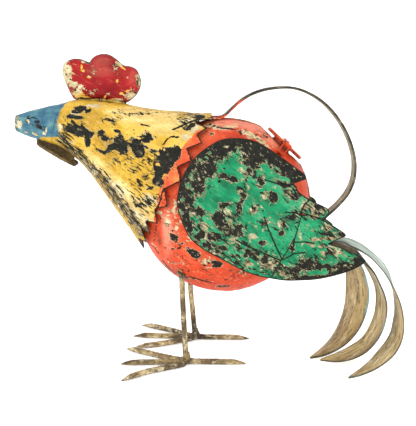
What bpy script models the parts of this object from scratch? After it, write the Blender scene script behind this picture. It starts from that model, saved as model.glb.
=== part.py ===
"""Rooster watering can, built from cut, dished and welded sheet steel with forged rod legs.

Frame: +Z up, the bird looks along -X, its left side is -Y. The origin is on the
ground under the middle of the object's bounding box. Lengths in the tables are
millimetres; MM turns them into metres.
"""
import math

import bmesh
import bpy
import numpy as np
from mathutils import Matrix, Vector

MM = 0.001

# ---------------------------------------------------------------- dimensions
ORIGIN_SHIFT_X = 0.3          # mm; moves the whole bird along X so that the box is centred
SHEET = 1.2                   # sheet steel
GAP = 0.35                    # clearance left between welded or touching pieces

# body: two dished half shells, an ellipsoid 198 x 124 x 202
BODY_C = (19.0, 0.0, 176.0)
BODY_A, BODY_B, BODY_H = 99.0, 62.0, 101.0
BODY_AROUND, BODY_ACROSS = 32, 16
SEAM = 0.32                   # of each shell's rim from the middle plane

# fill opening: a pressed flat on the upper rear of the body with a short collar
LID_TILT = math.radians(43.4)          # of the lid's plane, falling to the rear
FLAT_AT = 94.7                         # of the pressed flat from the body's centre
COLLAR_R, COLLAR_BORE_R = 12.0, 11.0
COLLAR_LOW, COLLAR_TOP = 95.1, 100.1
COLLAR_T = -2.0                        # of the collar along the lid's fall line
LID_R, LID_BEAD_R, LID_PLATE = 25.5, 2.0, 1.2
LID_AT = 101.1                         # of the lid plate's middle from the body's centre
HINGE_Y, HINGE_AT = -29.5, 100.45
PIN_R, KNUCKLE_BORE_R, KNUCKLE_R = 1.45, 1.52, 2.8
STRAP_W, STRAP_T, STRAP_AT = 5.8, 1.2, 102.65
RIVET_Y = (-16.0, 16.0)

# handle: one flat bar bent to a loop
HANDLE_W, HANDLE_T = 22.0, 2.8
HANDLE_LINE = [
    (5, 278.15), (13, 278.35), (19, 280.6), (25, 286), (36, 296), (48, 303.5), (63, 309),
    (80, 311.4), (96, 311), (112, 306), (128, 296.5), (142, 283), (154, 266), (163, 246),
    (167.5, 226), (166.5, 207), (160, 191), (149, 177.5), (137, 166), (127, 157),
    (120.5, 151.5), (117.6, 147), (116.6, 142), (115.2, 137.5),
]

# legs and toes: round rod, the toes drawn to points
LEG_R, TOE_R = 3.25, 3.4
TOE_SINK = 0.35               # the toes' worn undersides are flat by this much
LEGS = {
    "left": [(-30.2, -28.6, 108.0), (-29.0, -32.0, 76.0), (-27.0, -38.0, 38.0), (-25.2, -43.0, 7.2)],
    "right": [(-23.4, 26.6, 104.0), (-21.5, 31.5, 72.0), (-18.8, 39.0, 38.0), (-16.2, 46.0, 7.2)],
}
ANKLES = {"left": (-25.0, -43.0), "right": (-16.0, 46.0)}
TOES = {
    "left": {
        "outer": [(-30, -53), (-43, -61), (-55, -68), (-68, -76), (-80, -87), (-93.5, -100)],
        "middle": [(-36, -43.5), (-55, -44.8), (-76, -46), (-99.5, -47.5)],
        "inner": [(-35, -36), (-54, -25), (-76, -10), (-98, 6)],
        "back": [(-14, -43.2), (4, -43.6), (24, -44.2), (43, -45)],
    },
    "right": {
        "outer": [(-27, 56), (-44, 71), (-64, 86), (-86, 100)],
        "middle": [(-28, 47), (-48, 49.5), (-70, 52), (-93.5, 54)],
        "inner": [(-25, 38), (-44, 26.5), (-66, 16), (-88, 10)],
        "back": [(-5, 46), (13, 45.6), (33, 45), (51, 44.4)],
    },
}

# neck and head: top point, bottom point and half width of each section
NECK = [
    ((-165.6, 292.6), (-177.4, 249.3), 21.5),
    ((-150, 296.5), (-163.5, 243), 26.5),
    ((-122, 297), (-142.5, 226), 31),
    ((-92, 292), (-123.5, 200.5), 36),
    ((-66, 286.5), (-106, 175), 40.5),
    ((-42, 284), (-91, 153), 44),
    ((-20, 282.5), (-78.5, 133.5), 46.5),
    ((-4, 281.5), (-68, 120), 52),
    ((10, 281.0), (-58, 106), 55.5),
]
NECK_CLEAR = 1.0              # between the hackle sheet and the body under it
# rear edge of the hackle: points and notches in side view, above to below
HACKLE_EDGE = [
    (4.3, 300), (4.3, 279.5), (1.5, 276.8), (-9.5, 275.5), (-13.5, 273.5), (0, 268), (-12, 261.5), (-6, 252.5),
    (-23, 246.5), (-17, 234), (-33, 227), (-29, 212.5), (-47, 203), (-44, 183.5), (-58.5, 180),
    (-56, 163), (-69, 165), (-64, 149), (-75, 155.5), (-69.5, 138), (-79, 141), (-72, 118),
]
BEAK = [
    ((-217.5, 279.2), (-217.5, 263.2), 8.5),
    ((-204, 283.6), (-204.5, 257.6), 12.5),
    ((-187, 287.8), (-191, 253.6), 17),
    ((-166.0, 292.3), (-178.0, 249.2), 21.4),
]

# comb: outline of one dished half in side view, three lobes
COMB_EDGE = [
    (-150, 298.2), (-155, 304), (-159, 313), (-163, 324), (-163.5, 332), (-161, 339),
    (-153, 343), (-144, 343), (-137, 340.5), (-133.5, 339.5), (-130, 344), (-124, 347.6),
    (-117, 348.8), (-110, 347.6), (-103, 343), (-98, 338.4), (-93, 335.5), (-88, 335),
    (-81, 332), (-77, 325), (-75.5, 317), (-77.5, 309), (-82, 302), (-88, 297), (-94, 294.8),
    (-108, 297.0), (-122, 298.8), (-136, 299.2),
]
COMB_MID = (-118.0, 318.0)
COMB_DEPTH = 9.5

# wattles: two petals side by side under the throat
WATTLE_LINE = [(-193.0, 247.6), (-178, 239.2), (-163, 230.6), (-150.5, 223.6)]
WATTLE_HALF = [3.0, 9.0, 10.5, 5.0]

# wings: front layer (coverts) laps over the rear layer (primaries)
WING_TIP_Y, WING_BULGE = 34.0, 28.0
COVERTS_OFF, PRIMARIES_OFF = 3.0, 0.9
COVERTS_EDGE = [
    (-32, 203), (-34, 189), (-31, 175), (-21, 152), (-6, 138), (15, 126), (36, 114), (54, 106),
    (70, 102), (84, 127), (97, 150), (104, 176), (126, 169), (134.5, 176), (131, 181),
    (119, 187), (107, 194), (99, 200), (94, 209), (107.5, 213.5), (106, 218.5), (96, 226),
    (78, 239), (60, 251), (48, 256), (32, 258.5), (15, 257), (1, 250), (-12, 240),
    (-23, 226), (-30, 211),
]
PRIMARIES_EDGE = [
    (46, 124), (58, 106.5), (80, 99.5), (98, 98), (125, 99), (152, 105), (171, 113),
    (177, 118), (175, 121.5), (155, 133), (135, 140), (154, 148), (152.5, 151.5), (140, 160),
    (126, 168), (112, 174.5), (92, 172), (76, 156), (58, 140),
]
FAR_WING_SHIFT = (-3.0, -3.0)

# tail: long bent blades; near edge and far edge of each, root to tip
TAIL = {
    "tail_feather_rear": (
        [(108, -13, 132), (130, -16, 136), (152, -20, 137.5), (164, -26, 133), (173, -31, 129), (183, -36, 123),
         (193, -41, 113), (200, -46, 104), (207, -52, 92), (215, -60, 71), (216.5, -68, 52),
         (213, -75, 38), (206, -81, 27), (196, -87, 19), (181, -93, 11.5), (165, -97, 6.5), (151, -100, 4.2)],
        [(108, 13, 132), (132, 9, 136.5), (155, 2, 138.5), (167, 2, 136.5), (180, 3, 130), (192, 3, 121),
         (204, 1, 110), (212, -3, 96), (216, -8, 80), (216.5, -18, 59), (213.5, -26, 47),
         (209, -34, 35.5), (201, -43, 26), (190, -54, 18), (177, -68, 10.5), (164.5, -82, 6.8), (151, -97, 4.6)],
        0.8,
    ),
    "tail_feather_middle": (
        [(106, -12, 126), (126, -16, 129), (143, -19, 130.5), (157, -22, 127), (171, -24, 121), (180, -26, 112),
         (190, -28, 102), (196.5, -31, 89), (201.5, -34, 77), (203.5, -38, 63), (200, -43, 45),
         (192, -48, 30), (179, -53, 17.5), (162, -57, 10), (144, -60, 8.2), (126, -62, 10.8)],
        [(106, 12, 126), (128, 11, 130), (147, 10, 132), (160, 10, 130), (171, 10, 125), (179, 9, 114.5),
         (184, 8, 105), (190, 7, 95), (196, 5, 82), (198, 2, 68.5), (196.5, -3, 51.5),
         (190, -10, 36.5), (180, -19, 24.5), (165, -30, 18), (148, -42, 14), (126, -59, 11.4)],
        -1.8,
    ),
    "tail_feather_front": (
        [(104, -9, 120), (124, -11, 123), (144, -12, 125), (161, -11, 120), (174, -10, 112), (181, -10, 102), (185, -10, 90),
         (188, -11, 75), (186, -13, 56), (178.5, -16, 35.5), (166.5, -21, 21), (153, -27, 12.5),
         (135.5, -33, 6.2), (117, -38, 4.4)],
        [(104, 14, 120), (124, 18, 122.5), (142, 22, 123), (156, 25, 118), (163.5, 25, 108), (166, 25, 98), (166, 25, 88),
         (166, 24, 74), (165.5, 22, 57), (161.5, 18, 41), (154.5, 12, 26), (144.5, 2, 14),
         (132, -13, 7.6), (117, -35, 4.8)],
        2.5,
    ),
}

COLOURS = {
    "orange_paint": ((0.80, 0.17, 0.07), 0.55, 0.0),
    "yellow_paint": ((0.87, 0.55, 0.12), 0.55, 0.0),
    "blue_paint": ((0.06, 0.17, 0.28), 0.55, 0.0),
    "red_paint": ((0.50, 0.03, 0.04), 0.5, 0.0),
    "green_paint": ((0.03, 0.30, 0.13), 0.55, 0.0),
    "dark_steel": ((0.08, 0.08, 0.075), 0.6, 0.6),
    "patina_steel": ((0.33, 0.25, 0.14), 0.6, 0.5),
}

# ---------------------------------------------------------------- scene
for old in list(bpy.data.objects):
    bpy.data.objects.remove(old, do_unlink=True)
for old in list(bpy.data.collections):
    bpy.data.collections.remove(old)

PARTS = bpy.data.collections.new("rooster_watering_can")
CUTTERS = bpy.data.collections.new("cutters")
bpy.context.scene.collection.children.link(PARTS)
bpy.context.scene.collection.children.link(CUTTERS)


def paint(name, key):
    rgb, rough, metal = COLOURS[key]
    mat = bpy.data.materials.new(name + "_" + key)
    mat.use_nodes = True
    bsdf = mat.node_tree.nodes["Principled BSDF"]
    bsdf.inputs["Base Color"].default_value = (*rgb, 1.0)
    bsdf.inputs["Roughness"].default_value = rough
    bsdf.inputs["Metallic"].default_value = metal
    mat.diffuse_color = (*rgb, 1.0)
    return mat


def add(name, mesh, key=None, cutter=False):
    obj = bpy.data.objects.new(name, mesh)
    if cutter:
        CUTTERS.objects.link(obj)
        obj.hide_render = True
        obj.display_type = "WIRE"
    else:
        PARTS.objects.link(obj)
        mesh.materials.append(paint(name, key))
    return obj


def p3(x, y, z):
    """Millimetres in the bird's side-view frame to metres in the object's frame."""
    return Vector(((x + ORIGIN_SHIFT_X) * MM, y * MM, z * MM))


def outward(bm):
    """Turn a closed form's faces to point out."""
    bm.normal_update()
    bmesh.ops.recalc_face_normals(bm, faces=bm.faces)
    if bm.calc_volume(signed=True) < 0:
        bmesh.ops.reverse_faces(bm, faces=bm.faces)


def mesh_of(bm, name, smooth=True):
    mesh = bpy.data.meshes.new(name)
    bm.to_mesh(mesh)
    bm.free()
    if smooth:
        mesh.shade_smooth()
        mesh.set_sharp_from_angle(angle=math.radians(40))
    return mesh


def curve_through(points, per_span):
    """Catmull-Rom curve through the points, as an array."""
    p = np.array(points, float)
    q = np.vstack([2 * p[0] - p[1], p, 2 * p[-1] - p[-2]])
    out = []
    for i in range(1, len(q) - 2):
        for k in range(per_span):
            t = k / per_span
            a, b, c, d = q[i - 1], q[i], q[i + 1], q[i + 2]
            out.append(0.5 * (2 * b + (c - a) * t + (2 * a - 5 * b + 4 * c - d) * t * t
                              + (3 * b - a - 3 * c + d) * t ** 3))
    out.append(p[-1])
    return np.array(out)


def grid_mesh(rows, closed, name, smooth=True):
    """Surface through rows of points; closed joins each row's ends."""
    bm = bmesh.new()
    verts = [[bm.verts.new(p) for p in row] for row in rows]
    n = len(rows[0])
    for a, b in zip(verts[:-1], verts[1:]):
        for j in range(n if closed else n - 1):
            k = (j + 1) % n
            bm.faces.new((a[j], a[k], b[k], b[j]))
    bmesh.ops.recalc_face_normals(bm, faces=bm.faces)
    return mesh_of(bm, name, smooth)


def thicken(obj, thickness, offset):
    mod = obj.modifiers.new("sheet", "SOLIDIFY")
    mod.thickness = thickness * MM
    mod.offset = offset
    mod.use_even_offset = True
    mod.use_rim = True
    return mod


def cut(obj, cutter, operation="DIFFERENCE"):
    mod = obj.modifiers.new(operation.lower(), "BOOLEAN")
    mod.operation = operation
    mod.solver = "EXACT"
    mod.object = cutter
    return mod


def prism(name, outline, y0, y1):
    """Cutter: a side-view outline pulled through from y0 to y1."""
    bm = bmesh.new()
    low = [bm.verts.new(p3(x, y0, z)) for x, z in outline]
    face = bm.faces.new(low)
    out = bmesh.ops.extrude_face_region(bm, geom=[face])
    moved = [g for g in out["geom"] if isinstance(g, bmesh.types.BMVert)]
    bmesh.ops.translate(bm, verts=moved, vec=Vector((0, (y1 - y0) * MM, 0)))
    outward(bm)
    return add(name, mesh_of(bm, name, False), cutter=True)


# ---------------------------------------------------------------- body
CENTRE = p3(*BODY_C)
LID_N = Vector((math.sin(LID_TILT), 0.0, math.cos(LID_TILT)))
LID_T = Vector((math.cos(LID_TILT), 0.0, -math.sin(LID_TILT)))


def body_ball(grow):
    """The body's outer form grown by a clearance, as a closed ball."""
    bm = bmesh.new()
    bmesh.ops.create_uvsphere(bm, u_segments=BODY_AROUND, v_segments=BODY_ACROSS, radius=1.0)
    for v in bm.verts:
        x, y, z = v.co.x, v.co.z, -v.co.y
        v.co = CENTRE + Vector((x * (BODY_A + grow), y * (BODY_B + grow), z * (BODY_H + grow))) * MM
    outward(bm)
    return bm


BODY_KEEP = add("body_clearance", mesh_of(body_ball(GAP), "body_clearance"), cutter=True)


def disc_frame(t, y, n):
    """Point given along the lid's fall line, across, and out from the body's centre."""
    return CENTRE + LID_T * (t * MM) + Vector((0, y * MM, 0)) + LID_N * (n * MM)


LID_ROT = Matrix((
    (LID_T.x, 0.0, LID_N.x),
    (0.0, 1.0, 0.0),
    (LID_T.z, 0.0, LID_N.z),
)).to_4x4()

# cutters for the openings in the shells
bm = bmesh.new()
bmesh.ops.create_cone(bm, cap_ends=True, segments=32, radius1=COLLAR_BORE_R * MM,
                      radius2=COLLAR_BORE_R * MM, depth=30 * MM)
bm.transform(Matrix.Translation(disc_frame(COLLAR_T, 0, FLAT_AT)) @ LID_ROT)
FILL_CUT = add("fill_hole_cutter", mesh_of(bm, "fill_hole_cutter"), cutter=True)

NECK_DIR = Vector((-0.86, 0.0, 0.51)).normalized()
bm = bmesh.new()
bmesh.ops.create_cone(bm, cap_ends=True, segments=32, radius1=33 * MM, radius2=33 * MM, depth=60 * MM)
bm.transform(Matrix.Translation(CENTRE + NECK_DIR * 95 * MM)
             @ NECK_DIR.to_track_quat("Z", "Y").to_matrix().to_4x4())
NECK_CUT = add("neck_hole_cutter", mesh_of(bm, "neck_hole_cutter"), cutter=True)


def body_shell(name, side):
    bm = body_ball(0.0)
    gone = [f for f in bm.faces if f.calc_center_median().y * side < 0]
    bmesh.ops.delete(bm, geom=gone, context="FACES")
    for v in bm.verts:
        d = (v.co - CENTRE).dot(LID_N) / MM
        if d > FLAT_AT:
            v.co -= LID_N * (d - FLAT_AT) * MM
        v.co.y += side * SEAM * MM
    bmesh.ops.recalc_face_normals(bm, faces=bm.faces)
    mid = CENTRE + Vector((0, side * 20 * MM, 0))
    face = max(bm.faces, key=lambda f: abs(f.calc_center_median().y))
    if (face.calc_center_median() - mid).dot(face.normal) < 0:
        bmesh.ops.reverse_faces(bm, faces=bm.faces)
    obj = add(name, mesh_of(bm, name), "orange_paint")
    thicken(obj, SHEET, -1.0)
    cut(obj, FILL_CUT)
    cut(obj, NECK_CUT)
    return obj


body_shell("body_left_shell", -1)
body_shell("body_right_shell", 1)

# ---------------------------------------------------------------- neck and beak
RING = 28


def section(top, bottom, half, clear=None):
    top, bottom = np.array(top), np.array(bottom)
    mid, arm = (top + bottom) / 2, (top - bottom) / 2
    out = []
    for k in range(RING):
        a = 2 * math.pi * k / RING
        x, z = mid + arm * math.cos(a)
        y = half * math.sin(a)
        if clear is not None:
            # the sheet lies on the body wherever its own line would run inside it
            e = ((x - BODY_C[0]) / (BODY_A + clear), y / (BODY_B + clear), (z - BODY_C[2]) / (BODY_H + clear))
            s = math.sqrt(sum(c * c for c in e))
            if s < 1:
                x, y, z = (BODY_C[0] + (x - BODY_C[0]) / s, y / s, BODY_C[2] + (z - BODY_C[2]) / s)
        out.append(p3(x, y, z))
    return out


def stations(table, per_span):
    flat = [(*t, *b, w) for t, b, w in table]
    return [((r[0], r[1]), (r[2], r[3]), r[4]) for r in curve_through(flat, per_span)]


neck_rows = [section(t, b, w, NECK_CLEAR) for t, b, w in stations(NECK, 1)]
neck = add("neck_hackle", grid_mesh(neck_rows, True, "neck_hackle"), "yellow_paint")
thicken(neck, SHEET, 1.0)
cut(neck, prism("hackle_edge_cutter", HACKLE_EDGE + [(-72, 90), (60, 90), (60, 300)], -90, 90))

beak_rows = [section(t, b, w) for t, b, w in stations(BEAK, 1)]
beak = add("beak_spout", grid_mesh(beak_rows, True, "beak_spout"), "blue_paint")
thicken(beak, SHEET, 1.0)

# ---------------------------------------------------------------- comb


def comb_half(name, side):
    edge = np.array(COMB_EDGE, float)
    mid = np.array(COMB_MID)
    bm = bmesh.new()
    rings = []
    for r in (1.0, 0.93, 0.8, 0.58, 0.3):
        y = side * (0.5 * GAP + COMB_DEPTH * (1 - r ** 2.6) ** 0.6)
        rings.append([bm.verts.new(p3(*(mid + (e - mid) * r)[[0]], y, (mid + (e - mid) * r)[1])) for e in edge])
    pole = bm.verts.new(p3(mid[0], side * (0.5 * GAP + COMB_DEPTH), mid[1]))
    n = len(edge)
    for a, b in zip(rings[:-1], rings[1:]):
        for j in range(n):
            bm.faces.new((a[j], a[(j + 1) % n], b[(j + 1) % n], b[j]))
    for j in range(n):
        bm.faces.new((rings[-1][j], rings[-1][(j + 1) % n], pole))
    bmesh.ops.recalc_face_normals(bm, faces=bm.faces)
    face = max(bm.faces, key=lambda f: f.calc_center_median().y * side)
    if face.normal.y * side < 0:
        bmesh.ops.reverse_faces(bm, faces=bm.faces)
    obj = add(name, mesh_of(bm, name), "red_paint")
    mod = thicken(obj, 1.0, -1.0)
    mod.use_even_offset = False
    box = [(-180, 280), (-60, 280), (-60, 360), (-180, 360)]
    cut(obj, prism(name + "_seam_cutter", box, *((-0.5 * GAP, 20) if side < 0 else (-20, 0.5 * GAP))))
    return obj


comb_half("comb_left", -1)
comb_half("comb_right", 1)

# ---------------------------------------------------------------- blades: wattles, tail


def blade(name, near, far, crown, key, thickness=1.6, across=4, per_span=1):
    near, far = curve_through(near, per_span), curve_through(far, per_span)
    rows = []
    for i in range(len(near)):
        a, b = near[i], far[i]
        k0, k1 = max(i - 1, 0), min(i + 1, len(near) - 1)
        run = (near[k1] + far[k1]) - (near[k0] + far[k0])
        up = np.cross(b - a, run)
        up = up / max(np.linalg.norm(up), 1e-9)
        width = np.linalg.norm(b - a)
        rows.append([p3(*(a + (b - a) * u + up * crown * min(1.0, width / 20) * 4 * u * (1 - u)))
                     for u in np.linspace(0, 1, across + 1)])
    obj = add(name, grid_mesh(rows, False, name), key)
    thicken(obj, thickness, 0.0)
    return obj


for name, side in (("wattle_left", -1), ("wattle_right", 1)):
    line = curve_through(WATTLE_LINE, 3)
    half = curve_through([(h,) for h in WATTLE_HALF], 3)[:, 0]
    inner = [(x, side * 0.5, z) for x, z in line]
    outer = [(x, side * (0.5 + 2 * h), z - 0.10 * h) for (x, z), h in zip(line, half)]
    pair = (inner, outer) if side > 0 else (outer, inner)
    blade(name, pair[0], pair[1], 0.8, "dark_steel", 1.3)

for name, (near, far, crown) in TAIL.items():
    obj = blade(name, near, far, crown, "patina_steel", 1.8)
    cut(obj, BODY_KEEP)

# ---------------------------------------------------------------- wings


def wing_y(x, z, off):
    """Distance of a wing sheet from the middle plane: it hugs the body, then levels out behind."""
    q = ((x - BODY_C[0]) / BODY_A) ** 2 + ((z - BODY_C[2]) / BODY_H) ** 2
    return WING_TIP_Y + off + WING_BULGE * math.exp(-q)


def wing_layer(name, outline, side, off, shift, thickness):
    pts = np.array(outline, float)
    x0, z0 = pts.min(0) - 6
    x1, z1 = pts.max(0) + 6
    nx, nz = int((x1 - x0) / 13), int((z1 - z0) / 13)
    rows = []
    for i in range(nx + 1):
        x = x0 + (x1 - x0) * i / nx
        rows.append([p3(x + shift[0], side * wing_y(x + shift[0], z + shift[1], off), z + shift[1])
                     for z in np.linspace(z0, z1, nz + 1)])
    mesh = grid_mesh(rows, False, name)
    obj = add(name, mesh, "green_paint")
    if mesh.polygons[0].normal.y * side < 0:
        mesh.flip_normals()
    thicken(obj, thickness, 1.0)
    edge = [(x + shift[0], z + shift[1]) for x, z in outline]
    y0, y1 = (-90, -20) if side < 0 else (20, 90)
    cut(obj, prism(name + "_outline", edge, y0, y1), "INTERSECT")
    return obj


for word, side, shift in (("left", -1, (0.0, 0.0)), ("right", 1, FAR_WING_SHIFT)):
    wing_layer("wing_" + word + "_coverts", COVERTS_EDGE, side, COVERTS_OFF, shift, 1.2)
    wing_layer("wing_" + word + "_primaries", PRIMARIES_EDGE, side, PRIMARIES_OFF, shift, 1.2)

# ---------------------------------------------------------------- handle
line = np.array(HANDLE_LINE, float)
rows = []
for i in range(len(line)):
    a, b = line[max(i - 1, 0)], line[min(i + 1, len(line) - 1)]
    tangent = (b - a) / np.linalg.norm(b - a)
    normal = np.array((-tangent[1], tangent[0])) * HANDLE_T / 2
    w = HANDLE_W / 2
    (xo, zo), (xi, zi) = line[i] + normal, line[i] - normal
    c = 0.7
    rows.append([p3(xo, -w + c, zo), p3(xo, w - c, zo), p3(*(line[i] + normal * 0.4)[[0]], w, (line[i] + normal * 0.4)[1]),
                 p3(*(line[i] - normal * 0.4)[[0]], w, (line[i] - normal * 0.4)[1]), p3(xi, w - c, zi), p3(xi, -w + c, zi),
                 p3(*(line[i] - normal * 0.4)[[0]], -w, (line[i] - normal * 0.4)[1]),
                 p3(*(line[i] + normal * 0.4)[[0]], -w, (line[i] + normal * 0.4)[1])])
mesh = grid_mesh(rows, True, "handle_strap")
bm = bmesh.new()
bm.from_mesh(mesh)
bmesh.ops.holes_fill(bm, edges=[e for e in bm.edges if e.is_boundary])
outward(bm)
bm.to_mesh(mesh)
bm.free()
handle = add("handle_strap", mesh, "dark_steel")
cut(handle, BODY_KEEP)

# ---------------------------------------------------------------- legs and toes


def rod(name, points, radius, key, radii=None, mitres=(), floor=False):
    """A drawn rod along the points, ends capped, trimmed by the planes given."""
    curve = bpy.data.curves.new(name, "CURVE")
    curve.dimensions = "3D"
    curve.bevel_depth = radius * MM
    curve.bevel_resolution = 2
    curve.use_fill_caps = True
    spline = curve.splines.new("POLY")
    spline.points.add(len(points) - 1)
    for k, pt in enumerate(points):
        spline.points[k].co = (*p3(*pt), 1.0)
        spline.points[k].radius = 1.0 if radii is None else radii[k]
    temp = bpy.data.objects.new(name + "_curve", curve)
    PARTS.objects.link(temp)
    bpy.context.view_layer.update()
    mesh = bpy.data.meshes.new_from_object(temp.evaluated_get(bpy.context.evaluated_depsgraph_get()))
    bpy.data.objects.remove(temp, do_unlink=True)
    bm = bmesh.new()
    bm.from_mesh(mesh)
    bmesh.ops.remove_doubles(bm, verts=bm.verts, dist=0.00001)
    bpy.data.meshes.remove(mesh)
    planes = list(mitres)
    if floor:
        planes.append((Vector((0, 0, 0)), Vector((0, 0, -1))))
    for co, no in planes:
        cutgeom = bmesh.ops.bisect_plane(bm, geom=bm.verts[:] + bm.edges[:] + bm.faces[:], dist=1e-7,
                                         plane_co=co, plane_no=no, clear_outer=True)
        edges = [e for e in bm.edges if e.is_boundary]
        if edges:
            bmesh.ops.holes_fill(bm, edges=edges)
    outward(bm)
    obj = add(name, mesh_of(bm, name), key)
    return obj


for word in ("left", "right"):
    leg = rod("leg_" + word, [tuple(p) for p in curve_through(LEGS[word], 2)], LEG_R, "patina_steel")
    cut(leg, BODY_KEEP)
    ax, ay = ANKLES[word]
    heading = {}
    for toe, pts in TOES[word].items():
        heading[toe] = math.atan2(pts[0][1] - ay, pts[0][0] - ax)
    for toe, pts in TOES[word].items():
        path = curve_through([(ax, ay)] + pts, 2)
        far = np.linalg.norm(np.array(pts[-1]) - (ax, ay))
        height = TOE_R - TOE_SINK
        path3, radii = [], []
        for x, y in path:
            left = np.linalg.norm(np.array((x, y)) - np.array(pts[-1]))
            r = max(0.22, min(1.0, (left / 17.0) ** 0.75))
            path3.append((x, y, height * (0.45 + 0.55 * r)))
            radii.append(r)
        me = heading[toe]
        mitres = []
        for other, angle in heading.items():
            if other == toe:
                continue
            diff = (angle - me + math.pi) % (2 * math.pi) - math.pi
            half = me + diff / 2
            sign = 1 if diff > 0 else -1
            no = Vector((-math.sin(half), math.cos(half), 0)) * sign
            co = p3(ax, ay, 0) - no * 0.5 * GAP * MM
            mitres.append((co, no))
        rod("toe_%s_%s" % (word, toe), path3, TOE_R, "patina_steel", radii, mitres, floor=True)

# ---------------------------------------------------------------- fill collar, lid and hinge


def turned(name, profile, key, matrix, steps=32):
    """A closed or open profile of (radius, height) turned about its axis."""
    bm = bmesh.new()
    verts = [bm.verts.new((r * MM, 0, h * MM)) for r, h in profile]
    edges = [bm.edges.new((a, b)) for a, b in zip(verts[:-1], verts[1:])]
    if profile[0][0] > 0.0:
        edges.append(bm.edges.new((verts[-1], verts[0])))
    bmesh.ops.spin(bm, geom=verts + edges, cent=(0, 0, 0), axis=(0, 0, 1), angle=2 * math.pi,
                   steps=steps, use_merge=True, use_duplicate=False)
    bmesh.ops.remove_doubles(bm, verts=bm.verts, dist=0.00001)
    outward(bm)
    bm.transform(matrix)
    return add(name, mesh_of(bm, name), key)


turned("fill_collar", [(COLLAR_BORE_R, COLLAR_LOW - FLAT_AT), (COLLAR_R, COLLAR_LOW - FLAT_AT),
                       (COLLAR_R, COLLAR_TOP - FLAT_AT), (COLLAR_BORE_R, COLLAR_TOP - FLAT_AT)],
       "orange_paint", Matrix.Translation(disc_frame(COLLAR_T, 0, FLAT_AT)) @ LID_ROT)

h = LID_PLATE / 2
bead_mid = LID_R - LID_BEAD_R
profile = [(0.0, h)]
for k in range(9):
    a = math.radians(90 - 30.0 * k)
    profile.append((bead_mid + LID_BEAD_R * math.cos(a), h - LID_BEAD_R + LID_BEAD_R * math.sin(a)))
profile += [(bead_mid - LID_BEAD_R - 0.6, -h), (0.0, -h)]
lid = turned("lid_disc", profile, "orange_paint", Matrix.Translation(disc_frame(0, 0, LID_AT)) @ LID_ROT, 28)


def block(name, t0, t1, y0, y1, n0, n1, key=None, cutter=False):
    """A straight block in the lid's frame."""
    bm = bmesh.new()
    bmesh.ops.create_cube(bm, size=1.0)
    bm.transform(Matrix.Diagonal(((t1 - t0) * MM, (y1 - y0) * MM, (n1 - n0) * MM, 1.0)))
    bm.transform(Matrix.Translation(disc_frame((t0 + t1) / 2, (y0 + y1) / 2, (n0 + n1) / 2)) @ LID_ROT)
    return add(name, mesh_of(bm, name, False), key, cutter)


def barrel(name, radius, t0, t1, y, n, key=None, cutter=False, segments=16):
    """A straight cylinder lying along the hinge line."""
    bm = bmesh.new()
    bmesh.ops.create_cone(bm, cap_ends=True, segments=segments, radius1=radius * MM, radius2=radius * MM,
                          depth=(t1 - t0) * MM)
    bm.transform(Matrix.Translation(disc_frame((t0 + t1) / 2, y, n)) @ LID_ROT
                 @ Matrix.Rotation(math.pi / 2, 4, "Y"))
    return add(name, mesh_of(bm, name), key, cutter)


def upright(name, radius, y, n0, n1, cutter=True, key=None, segments=16):
    bm = bmesh.new()
    bmesh.ops.create_cone(bm, cap_ends=True, segments=segments, radius1=radius * MM, radius2=radius * MM,
                          depth=(n1 - n0) * MM)
    bm.transform(Matrix.Translation(disc_frame(0, y, (n0 + n1) / 2)) @ LID_ROT)
    return add(name, mesh_of(bm, name), key, cutter)


def profile_block(name, outline, t0, t1, key=None):
    """An outline in the plane across the hinge line, pulled along it from t0 to t1."""
    bm = bmesh.new()
    face = bm.faces.new([bm.verts.new(disc_frame(t0, y, n)) for y, n in outline])
    out = bmesh.ops.extrude_face_region(bm, geom=[face])
    moved = [g for g in out["geom"] if isinstance(g, bmesh.types.BMVert)]
    bmesh.ops.translate(bm, verts=moved, vec=LID_T * ((t1 - t0) * MM))
    outward(bm)
    return add(name, mesh_of(bm, name), key)


def arc(y, n, radius, start, end, count):
    return [(y + radius * math.cos(math.radians(start + (end - start) * k / count)),
             n + radius * math.sin(math.radians(start + (end - start) * k / count))) for k in range(count + 1)]


# strap across the lid, rolled round the pin at the left edge
low_edge = STRAP_AT - STRAP_T / 2
meet = math.degrees(math.asin((low_edge - HINGE_AT) / KNUCKLE_R))
strap = profile_block("lid_strap", [(20.0, STRAP_AT + STRAP_T / 2)] + arc(HINGE_Y, HINGE_AT, KNUCKLE_R, 90, 360 + meet, 12)
                      + [(20.0, low_edge)], -STRAP_W / 2, STRAP_W / 2, "orange_paint")
bore = barrel("knuckle_bore_cutter", KNUCKLE_BORE_R, -20, 20, HINGE_Y, HINGE_AT, cutter=True)
cut(strap, bore)
for y in RIVET_Y:
    hole = upright("rivet_hole_cutter", 1.5, y, 90, 110)
    cut(strap, hole)
    cut(lid, hole)

for word, y in (("front", RIVET_Y[0]), ("rear", RIVET_Y[1])):
    top = STRAP_AT + STRAP_T / 2 + 0.3 - LID_AT
    low = -LID_PLATE / 2 - 0.3
    turned("lid_rivet_" + word, [(0.0, top + 1.1), (1.2, top + 0.95), (2.2, top + 0.45), (2.5, top), (1.2, top),
                                 (1.2, low), (2.0, low), (1.8, low - 0.6), (0.0, low - 0.7)],
           "orange_paint", Matrix.Translation(disc_frame(0, y, LID_AT)) @ LID_ROT, 16)

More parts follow.
